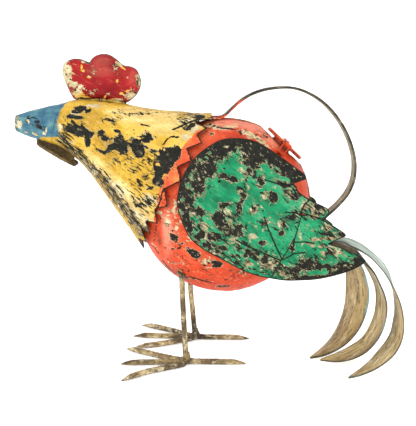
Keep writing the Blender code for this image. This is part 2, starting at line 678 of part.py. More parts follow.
# hinge bracket on the body: a web with two ears
EAR_IN, EAR_OUT = STRAP_W / 2 + 0.4, STRAP_W / 2 + 1.9
bracket = profile_block("hinge_bracket", arc(HINGE_Y, HINGE_AT, KNUCKLE_R, 0, 180, 8)
                        + [(HINGE_Y - KNUCKLE_R, 80.0), (HINGE_Y + KNUCKLE_R, 80.0)], -EAR_OUT, EAR_OUT, "orange_paint")
cut(bracket, block("ear_slot_cutter", -EAR_IN, EAR_IN, HINGE_Y - 12, HINGE_Y + 12, 94.6, 110, cutter=True))
cut(bracket, bore)
cut(bracket, BODY_KEEP)

reach = EAR_OUT + 0.3
pin_rows = [(0.0, reach + 1.0), (1.6, reach + 0.9), (2.3, reach + 0.4), (2.3, reach), (PIN_R, reach),
            (PIN_R, -reach), (2.3, -reach), (2.3, -reach - 0.4), (1.6, -reach - 0.9), (0.0, -reach - 1.0)]
turned("hinge_pin", pin_rows, "dark_steel",
       Matrix.Translation(disc_frame(0, HINGE_Y, HINGE_AT)) @ LID_ROT @ Matrix.Rotation(math.pi / 2, 4, "Y"), 16)

# the moving lid's pieces hang from an empty on the hinge line
pivot = bpy.data.objects.new("lid_pivot", None)
pivot.empty_display_size = 0.02
PARTS.objects.link(pivot)
pivot.location = disc_frame(0, HINGE_Y, HINGE_AT)
bpy.context.view_layer.update()
for name in ("lid_disc", "lid_strap", "lid_rivet_front", "lid_rivet_rear"):
    obj = bpy.data.objects[name]
    obj.parent = pivot
    obj.matrix_parent_inverse = pivot.matrix_world.inverted()
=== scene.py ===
"""Looks of the rooster watering can: hand-cut, dished and welded sheet steel with worn paint.

Frame as the CAD: +Z up, the bird looks along -X, its left side is -Y. The tables are in
millimetres in the bird's own frame, as in the CAD.
"""
import math

import bmesh
import bpy
import numpy as np
from mathutils import Matrix, Vector, noise
from mathutils.geometry import delaunay_2d_cdt


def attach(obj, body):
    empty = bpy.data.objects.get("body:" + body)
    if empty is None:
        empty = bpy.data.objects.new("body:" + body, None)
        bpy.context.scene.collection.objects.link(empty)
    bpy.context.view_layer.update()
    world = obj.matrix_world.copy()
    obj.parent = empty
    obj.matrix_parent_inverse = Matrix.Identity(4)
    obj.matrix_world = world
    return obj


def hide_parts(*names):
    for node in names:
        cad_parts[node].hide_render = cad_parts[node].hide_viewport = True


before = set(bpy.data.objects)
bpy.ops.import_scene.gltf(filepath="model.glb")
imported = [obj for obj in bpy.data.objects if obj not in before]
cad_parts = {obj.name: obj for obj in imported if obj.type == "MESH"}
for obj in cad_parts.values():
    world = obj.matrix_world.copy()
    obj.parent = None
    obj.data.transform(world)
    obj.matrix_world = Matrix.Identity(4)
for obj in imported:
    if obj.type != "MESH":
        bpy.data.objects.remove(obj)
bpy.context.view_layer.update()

MM = 0.001
SHIFT_X = 0.3
SHEET = 1.2
BODY_C = (19.0, 0.0, 176.0)
BODY_A, BODY_B, BODY_H = 99.0, 62.0, 101.0
SEAM = 0.32
LID_TILT = math.radians(43.4)
FLAT_AT = 94.7

PIECES = bpy.data.collections.new("looks")
bpy.context.scene.collection.children.link(PIECES)

# ------------------------------------------------------------------ tables of the form
NECK = [
    ((-165.6, 292.6), (-177.4, 249.3), 21.5),
    ((-150, 296.5), (-163.5, 243), 26.5),
    ((-122, 297), (-142.5, 226), 31),
    ((-92, 292), (-123.5, 200.5), 36),
    ((-66, 286.5), (-106, 175), 40.5),
    ((-42, 284), (-91, 153), 44),
    ((-20, 282.5), (-78.5, 133.5), 46.5),
    ((-4, 281.5), (-68, 120), 52),
    ((10, 281.0), (-58, 106), 55.5),
]
HACKLE_EDGE = [
    (4.3, 300), (4.3, 279.5), (1.5, 276.8), (-9.5, 275.5), (-13.5, 273.5), (0, 268), (-12, 261.5), (-6, 252.5),
    (-23, 246.5), (-17, 234), (-33, 227), (-29, 212.5), (-47, 203), (-44, 183.5), (-58.5, 180),
    (-56, 163), (-69, 165), (-64, 149), (-75, 155.5), (-69.5, 138), (-79, 141), (-72, 118),
]
BEAK = [
    ((-217.5, 279.2), (-217.5, 263.2), 8.5),
    ((-204, 283.6), (-204.5, 257.6), 12.5),
    ((-187, 287.8), (-191, 253.6), 17),
    ((-166.0, 292.3), (-178.0, 249.2), 21.4),
]
COMB_EDGE = [
    (-150, 298.2), (-155, 304), (-159, 313), (-163, 324), (-163.5, 332), (-161, 339),
    (-153, 343), (-144, 343), (-137, 340.5), (-133.5, 339.5), (-130, 344), (-124, 347.6),
    (-117, 348.8), (-110, 347.6), (-103, 343), (-98, 338.4), (-93, 335.5), (-88, 335),
    (-81, 332), (-77, 325), (-75.5, 317), (-77.5, 309), (-82, 302), (-88, 297), (-94, 294.8),
    (-108, 297.0), (-122, 298.8), (-136, 299.2),
]
COMB_MID = (-118.0, 318.0)
WATTLE_LINE = [(-193.0, 247.6), (-178, 239.2), (-163, 230.6), (-150.5, 223.6)]
WATTLE_HALF = [2.6, 6.2, 7.6, 4.6]
COVERTS_EDGE = [
    (-32, 203), (-34, 189), (-31, 175), (-21, 152), (-6, 138), (15, 126), (36, 114), (54, 106),
    (70, 102), (84, 127), (97, 150), (104, 176), (126, 169), (134.5, 176), (131, 181),
    (119, 187), (107, 194), (99, 200), (94, 209), (107.5, 213.5), (106, 218.5), (96, 226),
    (78, 239), (60, 251), (48, 256), (32, 258.5), (15, 257), (1, 250), (-12, 240),
    (-23, 226), (-30, 211),
]
COVERTS_SHARP = {8, 9, 10, 11, 13, 17, 18, 19}
PRIMARIES_EDGE = [
    (46, 124), (58, 106.5), (80, 99.5), (98, 98), (125, 99), (152, 105), (171, 113),
    (177, 118), (175, 121.5), (155, 133), (135, 140), (154, 148), (152.5, 151.5), (140, 160),
    (126, 168), (112, 174.5), (92, 172), (76, 156), (58, 140),
]
PRIMARIES_SHARP = {0, 7, 10, 11, 15, 16}
TAIL = {
    "tail_feather_rear": (
        [(108, -13, 132), (130, -16, 136), (152, -20, 137.5), (164, -26, 133), (173, -31, 129), (183, -36, 123),
         (193, -41, 113), (200, -46, 104), (207, -52, 92), (215, -60, 71), (216.5, -68, 52),
         (213, -75, 38), (206, -81, 27), (196, -87, 19), (181, -93, 11.5), (165, -97, 6.5), (151, -100, 4.2)],
        [(108, 13, 132), (132, 9, 136.5), (155, 2, 138.5), (167, 2, 136.5), (180, 3, 130), (192, 3, 121),
         (204, 1, 110), (212, -3, 96), (216, -8, 80), (216.5, -18, 59), (213.5, -26, 47),
         (209, -34, 35.5), (201, -43, 26), (190, -54, 18), (177, -68, 10.5), (164.5, -82, 6.8), (151, -97, 4.6)],
        0.8,
    ),
    "tail_feather_middle": (
        [(106, -12, 126), (126, -16, 129), (143, -19, 130.5), (157, -22, 127), (171, -24, 121), (180, -26, 112),
         (190, -28, 102), (196.5, -31, 89), (201.5, -34, 77), (203.5, -38, 63), (200, -43, 45),
         (192, -48, 30), (179, -53, 17.5), (162, -57, 10), (144, -60, 8.2), (126, -62, 10.8)],
        [(106, 12, 126), (128, 11, 130), (147, 10, 132), (160, 10, 130), (171, 10, 125), (179, 9, 114.5),
         (184, 8, 105), (190, 7, 95), (196, 5, 82), (198, 2, 68.5), (196.5, -3, 51.5),
         (190, -10, 36.5), (180, -19, 24.5), (165, -30, 18), (148, -42, 14), (126, -59, 11.4)],
        -1.8,
    ),
    "tail_feather_front": (
        [(104, -9, 120), (124, -11, 123), (144, -12, 125), (161, -11, 120), (174, -10, 112), (181, -10, 102),
         (185, -10, 90), (188, -11, 75), (186, -13, 56), (178.5, -16, 35.5), (166.5, -21, 21), (153, -27, 12.5),
         (135.5, -33, 6.2), (117, -38, 4.4)],
        [(104, 14, 120), (124, 18, 122.5), (142, 22, 123), (156, 25, 118), (163.5, 25, 108), (166, 25, 98),
         (166, 25, 88), (166, 24, 74), (165.5, 22, 57), (161.5, 18, 41), (154.5, 12, 26), (144.5, 2, 14),
         (132, -13, 7.6), (117, -35, 4.8)],
        2.5,
    ),
}
HANDLE_LINE = [
    (5, 278.15), (13, 278.35), (19, 280.6), (25, 286), (36, 296), (48, 303.5), (63, 309),
    (80, 311.4), (96, 311), (112, 306), (128, 296.5), (142, 283), (154, 266), (163, 246),
    (167.5, 226), (166.5, 207), (160, 191), (149, 177.5), (137, 166), (127, 157),
    (120.5, 151.5), (117.6, 147), (116.6, 142), (115.2, 137.5),
]
HANDLE_W, HANDLE_T = 22.0, 2.8
LEG_R, TOE_R, TOE_SINK = 3.25, 3.4, 0.35
LEGS = {
    "left": [(-30.2, -28.6, 108.0), (-29.0, -32.0, 76.0), (-27.0, -38.0, 38.0), (-25.2, -43.0, 5.5)],
    "right": [(-23.4, 26.6, 104.0), (-21.5, 31.5, 72.0), (-18.8, 39.0, 38.0), (-16.2, 46.0, 5.5)],
}
ANKLES = {"left": (-25.0, -43.0), "right": (-16.0, 46.0)}
TOES = {
    "left": {
        "outer": [(-30, -53), (-43, -61), (-55, -68), (-68, -76), (-80, -87), (-93.5, -100)],
        "middle": [(-36, -43.5), (-55, -44.8), (-76, -46), (-99.5, -47.5)],
        "inner": [(-35, -36), (-54, -25), (-76, -10), (-98, 6)],
        "back": [(-14, -43.2), (4, -43.6), (24, -44.2), (43, -45)],
    },
    "right": {
        "outer": [(-27, 56), (-44, 71), (-64, 86), (-86, 100)],
        "middle": [(-28, 47), (-48, 49.5), (-70, 52), (-93.5, 54)],
        "inner": [(-25, 38), (-44, 26.5), (-66, 16), (-88, 10)],
        "back": [(-5, 46), (13, 45.6), (33, 45), (51, 44.4)],
    },
}

# ------------------------------------------------------------------ tables of the paint
# patches: side-view centre x, z, half sizes, turn in degrees (all on the bird's left side)
NECK_BLACK = [
    (-143, 288, 5, 2.7, 15), (-133, 286, 3, 1.3, 30), (-152, 280, 3.6, 1.8, 0), (-142, 279, 4.5, 1.2, 0),
    (-151, 267, 5.5, 3.2, 0), (-139, 264, 9, 4.4, -12), (-133, 255, 2.6, 6.5, 0), (-129, 263, 4, 2.2, 0),
    (-118, 263, 4, 3.4, 10), (-113, 257, 5, 2.8, -10), (-101, 265, 3.5, 1.2, -10), (-98, 256, 5, 3.6, 0),
    (-105, 248, 10, 2.6, 35), (-93, 250, 4.8, 4.8, 0), (-79, 250, 9, 5.2, 0), (-68, 256, 5.5, 4.4, 0),
    (-75, 242, 4.2, 3.6, 0), (-117, 242, 5.5, 1.5, -35), (-92, 243, 4, 1.8, 0), (-45, 238, 8, 5.2, 0),
    (-36, 242, 4.6, 6, 30), (-33, 248, 2, 4, 20), (-51, 234, 4, 4.5, 0), (-48, 227, 5.5, 4.6, 0),
    (-42, 230, 3.6, 3.6, 0), (-55, 218, 3.2, 9, 15), (-57, 209, 2.6, 4, 0), (-63, 203, 4, 1.1, 10),
    (-59, 242, 5, 1.5, -28), (-19, 270, 5, 1.8, 35), (-9, 279, 6, 1.5, 0),
]
NECK_SPECKLE = [
    (-68, 236, 6, 4, -20), (-61, 233, 6.5, 4, -30), (-111, 231, 7, 3, -42), (-98, 232, 8, 3.5, -25),
    (-85, 234, 5, 3, -20), (-79, 224, 8, 6, -20), (-65, 216, 8, 7, 0), (-76, 209, 4, 5, 0),
    (-109, 277, 9, 3.5, -18), (-100, 280, 4, 3.3, 0), (-84, 283, 9, 1.6, 0), (-123, 243, 6, 3.3, -40),
    (-159, 247, 7, 3.4, -40), (-142, 243, 7, 3.3, -40), (-64, 192, 9, 8, 0), (-75, 183, 7, 8, 0),
    (-98, 248, 10, 5, 20), (-145, 270, 12, 6, -10), (-155, 262, 6, 8, -30), (-20, 276, 14, 5, 15),
]
NECK_CREAM = [
    (-157, 246, 10, 3, -40), (-163, 254, 4, 4, 0), (-100, 199, 5, 17, 38), (-127, 218, 4, 11, 45),
    (-64, 190, 8, 6, 0), (-67, 159, 7, 8, 0), (-79, 171, 6, 11, 38), (-147, 284, 5, 4, 0),
    (-164, 268, 2.5, 6, 0), (-20, 262, 12, 2.5, 28), (-12, 271, 10, 2, 28), (-130, 292, 12, 1.6, 0),
]
# pale patches: the streaks low on the neck are rubbed paint; the broad ones along the top of the neck are partly a
# painted highlight from the lamp above
NECK_PALE_AND_HIGHLIGHT = [
    (-64, 279, 34, 8, 0), (-25, 272, 22, 8, 15), (-47, 268, 22, 8, 0), (-90, 286, 24, 4, 0),
    (-118, 225, 6, 22, 45), (-92, 196, 8, 24, 38), (-75, 170, 14, 18, 30), (-70, 185, 10, 10, 0),
]
NECK_LINES = [
    [(-51, 242), (-49, 251), (-43, 258), (-36, 259), (-28, 255), (-23, 254)],
    [(-118, 224), (-108, 210)], [(-102, 205), (-94, 196)], [(-39, 266), (-20, 274), (-4, 280)],
    [(-75, 272), (-64, 269)], [(-57, 178), (-52, 191), (-49, 203)],
]
THROAT = [(-163, 255), (-153, 242), (-142, 233), (-130, 222), (-119, 211), (-110, 199), (-100, 185),
          (-91, 173), (-82, 161), (-75, 151)]
ORANGE_EDGE = [(-14, 262), (-22, 255), (-30, 245), (-34, 235), (-42, 227), (-48, 217), (-53, 204), (-56, 187),
               (-60, 170)]
BODY_BLACK = [
    (-39, 149, 5.5, 3.2, -30), (-17, 132, 8, 3.6, -35), (10, 119, 4.6, 4.4, 0), (-28, 142, 4.3, 1, 10),
    (-33, 124, 3.6, 1.2, -50), (-40, 115, 5.5, 1.3, 20), (-17, 97, 8.5, 1.1, 5), (15, 87, 5.5, 1.6, 0),
    (40, 109, 2.6, 1.2, 0), (-30, 260, 3, 1, 20), (5, 262, 3, 1.4, 10), (23, 88, 2.5, 1.0, 20),
]
BODY_SPECKLE = [
    (-62, 145, 4, 12, 15), (-49, 106, 4, 5, 0), (37, 107, 8, 4, -10), (-2, 120, 6, 4, 0),
    (6, 269, 10, 4, 10), (-57, 127, 4, 9, 20), (-32, 105, 9, 4, -20), (60, 257, 7, 5, -30),
    (42, 262, 10, 4, -15), (-30, 118, 9, 6, -30), (-5, 150, 5, 12, 30), (30, 100, 12, 5, 0), (98, 190, 6, 10, 0),
]
BODY_CREAM = [
    (-37, 181, 2.5, 13, 5), (-30, 167, 3, 8, -35), (-21, 147, 3.6, 4.5, 0), (-44, 166, 3, 9, 0),
    (-2, 121, 5.5, 3.6, 0), (19, 268, 15, 2.6, 10), (47, 260, 14, 2.6, -20), (2, 270, 8, 3, 0),
    (-53, 176, 4, 4, 0), (-40, 135, 3.3, 1.6, 0), (88, 224, 8, 2.2, -50), (60, 252, 12, 2.2, -32),
]
# pink pale patches: the three along the top of the body are a painted highlight from the lamp above
BODY_PALE_AND_HIGHLIGHT = [(22, 277, 24, 9, 0), (45, 272, 22, 7, -18), (-45, 155, 6, 26, 0), (70, 256, 18, 5, -38)]
BODY_LINES = [[(-21, 149), (-23, 141), (-31, 136), (-40, 134)], [(0, 272), (12, 268), (30, 266)],
              [(-58, 160), (-60, 146)], [(-52, 116), (-44, 105), (-36, 99)], [(-22, 100), (-8, 96), (4, 93)]]
WING_BLACK = [
    (-23, 193, 6, 11, 0), (-12, 210, 6, 8.5, 20), (-2, 227, 7.5, 10, -35), (9, 240, 8.6, 6.5, 35),
    (25, 249, 11, 5.6, 10), (45, 247, 13, 6.6, 0), (59, 243, 10, 7.6, -20), (77, 231, 13, 5.6, -35),
    (92, 220, 11, 4.2, -30), (49, 235, 6.5, 6.5, 0), (28, 215, 5.3, 3.2, -20), (16, 219, 4.3, 2.2, 0),
    (56, 213, 3, 4.6, 0), (38, 197, 3, 5.3, 0), (34, 186, 2.4, 5.3, 0), (71, 194, 3.4, 5, 20),
    (17, 187, 5, 2.8, 10), (10, 172, 6, 6, 0), (20, 162, 8.5, 4.4, -35), (31, 159, 5.6, 5, 0),
    (-9, 180, 4.6, 4.6, 0), (-24, 171, 3.6, 8.5, 0), (-19, 162, 3.6, 6.4, 0), (-11, 152, 4, 6.4, -30),
    (7, 152, 5.3, 3, -15), (-2, 143, 3.6, 3.6, 0), (17, 139, 4.3, 2.2, -15), (44, 133, 4.4, 3.6, 0),
    (59, 144, 3.6, 2.6, 0), (82, 209, 7.5, 2.4, -25), (94, 138, 2.6, 4.3, 0), (107, 116, 9, 5.6, 0),
    (94, 110, 8, 4.2, 0), (126, 114, 9, 4, 0), (147, 113, 15, 3, 10), (170, 119, 6, 4.6, 0),
    (149, 151, 3.3, 2, 0), (44, 223, 3.2, 3.2, 0), (63, 125, 4.3, 3, 0),
    (81, 156, 3, 2.6, 0), (-14, 232, 4, 6, -30),
]
WING_SPECKLE = [
    (44, 223, 9, 9, 0), (117, 180, 10, 6, 0), (24, 177, 10, 9, 0), (51, 184, 9, 7, 0), (65, 196, 7, 6, 0),
    (79, 164, 8, 7, 0), (38, 203, 7, 7, 0), (8, 137, 12, 7, -35), (30, 123, 14, 7, -30), (55, 131, 11, 8, 0),
    (74, 118, 15, 10, 0), (59, 213, 7, 7, 0), (-8, 160, 8, 12, -30), (114, 120, 17, 7, 0), (19, 246, 16, 10, 0),
    (154, 118, 13, 6, 0), (92, 172, 9, 6, 0), (137, 133, 14, 7, 0), (20, 160, 16, 12, -30), (-20, 195, 7, 16, 0),
    (0, 225, 12, 14, -30), (135, 152, 14, 8, 0), (60, 165, 12, 9, 0), (35, 140, 12, 9, -30), (90, 200, 14, 7, -30),
]
WING_CREAM = [
    (36, 202, 4, 4.6, 0), (53, 185, 5, 5.6, 0), (20, 181, 5, 5, 0), (49, 153, 4, 4, 0), (36, 163, 2.6, 5, 0),
    (-29, 210, 2.4, 6, 0), (70, 120, 9, 6, 0), (82, 108, 9, 4.2, 0), (93, 172, 5, 3, 0), (79, 165, 4.4, 3.6, 0),
    (132, 158, 6, 3, 0), (144, 131, 9, 3, -20), (114, 141, 11, 1.4, -5), (43, 121, 6, 4, 0), (8, 134, 5, 3.6, 0),
    (-3, 165, 2.8, 6, -30), (-19, 187, 1.8, 9, -10), (20, 253, 8, 2.2, 10), (65, 244, 6.5, 1.8, -30),
    (90, 227, 14, 1.1, -36), (103, 216, 3.5, 2.2, 0), (115, 179, 7, 4, 0), (12, 256, 9, 1.3, 15),
    (63, 199, 4, 4, 0), (98, 175, 4.3, 3, 0), (102, 150, 1.8, 9, 10), (26, 149, 5, 3, -30), (-3, 153, 3, 4, 0),
    (123, 138, 6.5, 2, 0), (14, 244, 8, 1.5, 40), (2, 232, 1.5, 8, -35), (120, 172, 6, 2.2, 10),
]
COVERT_LINES = [
    [(30, 149), (42, 142), (50, 138), (60, 133), (83, 122)],
    [(61, 174), (66, 160), (71, 148), (83, 122)], [(84, 178), (96, 177), (105, 173), (122, 169)],
    [(105, 173), (100, 162), (96, 149)], [(62, 214), (82, 207), (95, 208)],
    [(100, 174), (106, 186), (112, 191)],
]
PRIMARY_LINES = [
    [(60, 122), (84, 124), (96, 130), (108, 131)], [(96, 149), (94, 138), (93, 130)],
    [(95, 143), (108, 143), (118, 141)],
]
COMB_CREAM = [
    (-158, 332, 5, 9, 10), (-157, 321, 5, 7, -10), (-151, 315, 6, 4, -20), (-147, 306, 5, 5, 0),
    (-143, 312, 4.4, 2.6, 0), (-78, 319, 2.6, 8, 10), (-87, 302, 9, 3.6, 35), (-104, 297, 10, 1.8, 5),
    (-99, 337, 4.5, 1.5, -40), (-133, 324, 2.0, 1.0, -10), (-139, 340, 2.6, 1.4, 0),
]
COMB_YELLOW = [
    (-145, 304, 8, 3.6, 0), (-137, 300, 7, 2.2, -15), (-116, 301, 1.4, 3.2, -30), (-141, 334, 1.4, 3.4, 0),
    (-133, 323, 2.4, 1.2, 0), (-96, 334, 4.6, 1.4, -40), (-108, 298, 10, 1.4, 5), (-97, 305, 3.4, 1.3, 0),
    (-90, 308, 4.5, 1, 10), (-102, 319, 1.4, 2.2, 0), (-139, 330, 1.3, 1.3, 0),
]
COMB_BLACK = [
    (-103, 336, 2.4, 1.4, -20), (-134, 339, 3, 1.6, 0), (-149, 309, 1.6, 1.8, 0), (-143, 300, 2.7, 1.4, 0),
    (-79, 317, 1.2, 5, 0), (-99, 296, 3.4, 1.4, 0), (-157, 333, 1, 1, 0),
]


# ------------------------------------------------------------------ mesh helpers
def curve_through(points, per_span):
    p = np.array(points, float)
    q = np.vstack([2 * p[0] - p[1], p, 2 * p[-1] - p[-2]])
    out = []
    for i in range(1, len(q) - 2):
        for k in range(per_span):
            t = k / per_span
            a, b, c, d = q[i - 1], q[i], q[i + 1], q[i + 2]
            out.append(0.5 * (2 * b + (c - a) * t + (2 * a - 5 * b + 4 * c - d) * t * t
                              + (3 * b - a - 3 * c + d) * t ** 3))
    out.append(p[-1])
    return np.array(out)


def closed_through(points, per_span, sharp=()):
    """Closed smooth outline that stays pointed at the sharp points."""
    p = np.array(points, float)
    n = len(p)
    out = []
    for i in range(n):
        a, b, c, d = p[i - 1], p[i], p[(i + 1) % n], p[(i + 2) % n]
        if i in sharp:
            a = 2 * b - c
        if (i + 1) % n in sharp:
            d = 2 * c - b
        for k in range(per_span):
            t = k / per_span
            out.append(0.5 * (2 * b + (c - a) * t + (2 * a - 5 * b + 4 * c - d) * t * t
                              + (3 * b - a - 3 * c + d) * t ** 3))
    return np.array(out)


def resample(line, step, closed=True):
    p = np.vstack([line, line[:1]]) if closed else np.array(line, float)
    seg = np.linalg.norm(np.diff(p, axis=0), axis=1)
    s = np.concatenate([[0], np.cumsum(seg)])
    n = max(3, int(round(s[-1] / step)))
    at = np.linspace(0, s[-1], n + 1)
    out = np.column_stack([np.interp(at, s, p[:, k]) for k in range(p.shape[1])])
    return out[:-1] if closed else out


def to_m(v):
    v = np.array(v, float)
    v[..., 0] += SHIFT_X
    return v * MM


def piece(name, verts_mm, faces, body="can", smooth_angle=40, in_metres=False):
    mesh = bpy.data.meshes.new(name)
    pts = np.array(verts_mm, float) if in_metres else to_m(verts_mm)
    mesh.from_pydata(pts.tolist(), [], [tuple(int(i) for i in f) for f in faces])
    mesh.validate()
    obj = bpy.data.objects.new(name, mesh)
    PIECES.objects.link(obj)
    smooth(obj, smooth_angle)
    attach(obj, body)
    return obj


def smooth(obj, angle=40):
    obj.data.shade_smooth()
    obj.data.set_sharp_from_angle(angle=math.radians(angle))


def outward(obj):
    bm = bmesh.new()
    bm.from_mesh(obj.data)
    bmesh.ops.recalc_face_normals(bm, faces=bm.faces)
    if bm.calc_volume(signed=True) < 0:
        bmesh.ops.reverse_faces(bm, faces=bm.faces)
    bm.to_mesh(obj.data)
    bm.free()


def grid_faces(rows, cols, closed=True, base=0):
    f = []
    for i in range(rows - 1):
        for j in range(cols if closed else cols - 1):
            k = (j + 1) % cols
            f.append((base + i * cols + j, base + i * cols + k, base + (i + 1) * cols + k, base + (i + 1) * cols + j))
    return f


def applied(obj, angle=40):
    """Put the modifiers' result into the mesh."""
    dg = bpy.context.evaluated_depsgraph_get()
    dg.update()
    new = bpy.data.meshes.new_from_object(obj.evaluated_get(dg))
    obj.modifiers.clear()
    old = obj.data
    obj.data = new
    bpy.data.meshes.remove(old)
    smooth(obj, angle)
    return obj


def thicken(obj, t, offset):
    mod = obj.modifiers.new("sheet", "SOLIDIFY")
    mod.thickness = t * MM
    mod.offset = offset
    mod.use_even_offset = True
    mod.use_rim = True


CUTTERS = []


def prism(outline, y0, y1):
    bm = bmesh.new()
    low = [bm.verts.new(Vector(to_m((x, y0, z)))) for x, z in outline]
    face = bm.faces.new(low)
    out = bmesh.ops.extrude_face_region(bm, geom=[face])
    moved = [g for g in out["geom"] if isinstance(g, bmesh.types.BMVert)]
    bmesh.ops.translate(bm, verts=moved, vec=Vector((0, (y1 - y0) * MM, 0)))
    bm.normal_update()
    bmesh.ops.recalc_face_normals(bm, faces=bm.faces)
    if bm.calc_volume(signed=True) < 0:
        bmesh.ops.reverse_faces(bm, faces=bm.faces)
    mesh = bpy.data.meshes.new("cutter")
    bm.to_mesh(mesh)
    bm.free()
    obj = bpy.data.objects.new("cutter", mesh)
    bpy.context.scene.collection.objects.link(obj)
    CUTTERS.append(obj)
    return obj


def drum(matrix, radius, depth, segments=64):
    bm = bmesh.new()
    bmesh.ops.create_cone(bm, cap_ends=True, segments=segments, radius1=radius * MM, radius2=radius * MM,
                          depth=depth * MM)
    bm.transform(matrix)
    mesh = bpy.data.meshes.new("cutter")
    bm.to_mesh(mesh)
    bm.free()
    obj = bpy.data.objects.new("cutter", mesh)
    bpy.context.scene.collection.objects.link(obj)
    CUTTERS.append(obj)
    return obj


def cut(obj, cutter, operation="DIFFERENCE"):
    mod = obj.modifiers.new("cut", "BOOLEAN")
    mod.operation = operation
    mod.solver = "EXACT"
    mod.object = cutter


def coords(obj):
    n = len(obj.data.vertices)
    a = np.empty(n * 3)
    obj.data.vertices.foreach_get("co", a)
    a = a.reshape(-1, 3) / MM
    a[:, 0] -= SHIFT_X
    return a


def set_coords(obj, mm):
    obj.data.vertices.foreach_set("co", to_m(mm).ravel())
    obj.data.update()


def normals(obj):
    a = np.empty(len(obj.data.vertices) * 3)
    obj.data.vertex_normals.foreach_get("vector", a)
    return a.reshape(-1, 3)


def attribute(obj, name, values):
    old = obj.data.attributes.get(name)
    if old:
        obj.data.attributes.remove(old)
    att = obj.data.attributes.new(name, "FLOAT", "POINT")
    att.data.foreach_set("value", np.asarray(values, float))


def field(pts, scale, seed=0.0, octaves=3):
    """Smooth noise in about -1..1 at points given in mm; scale is the size of a lump in mm."""
    out = np.empty(len(pts))
    for i, p in enumerate(pts):
        out[i] = noise.fractal(Vector((p[0] / scale + seed, p[1] / scale - seed, p[2] / scale + 2 * seed)),
                               1.0, 2.0, octaves, noise_basis="PERLIN_ORIGINAL")
    return out


def patches(x, z, table, grow=1.0):
    """1 in a patch's middle, 0.5 at its edge, 0 at twice its size."""
    out = np.zeros(len(x))
    for cx, cz, rx, rz, turn in table:
        a = math.radians(turn)
        u = (x - cx) * math.cos(a) + (z - cz) * math.sin(a)
        w = -(x - cx) * math.sin(a) + (z - cz) * math.cos(a)
        d = np.sqrt((u / (rx * grow)) ** 2 + (w / (rz * grow)) ** 2)
        out = np.maximum(out, 1 - 0.5 * d)
    return out


def distance(x, z, line, closed=False):
    p = np.array(line, float)
    if closed:
        p = np.vstack([p, p[:1]])
    out = np.full(len(x), 1e9)
    for a, b in zip(p[:-1], p[1:]):
        d = b - a
        t = np.clip(((x - a[0]) * d[0] + (z - a[1]) * d[1]) / max(d @ d, 1e-9), 0, 1)
        out = np.minimum(out, np.hypot(x - a[0] - t * d[0], z - a[1] - t * d[1]))
    return out


def strokes(x, z, lines, width):
    out = np.zeros(len(x))
    for line in lines:
        out = np.maximum(out, 1 - 0.5 * distance(x, z, line) / width)
    return out


def side_view(pts, dx=7.0, dz=-5.0):
    """Places on the side the patch tables describe; the other side gets them moved, so it differs."""
    far = pts[:, 1] > 0
    return np.where(far, pts[:, 0] + dx, pts[:, 0]), np.where(far, pts[:, 2] + dz, pts[:, 2])


# ------------------------------------------------------------------ materials
def srgb(r, g, b):
    def lin(c):
        c = c / 255.0
        return c / 12.92 if c <= 0.04045 else ((c + 0.055) / 1.055) ** 2.4
    return (lin(r), lin(g), lin(b), 1.0)


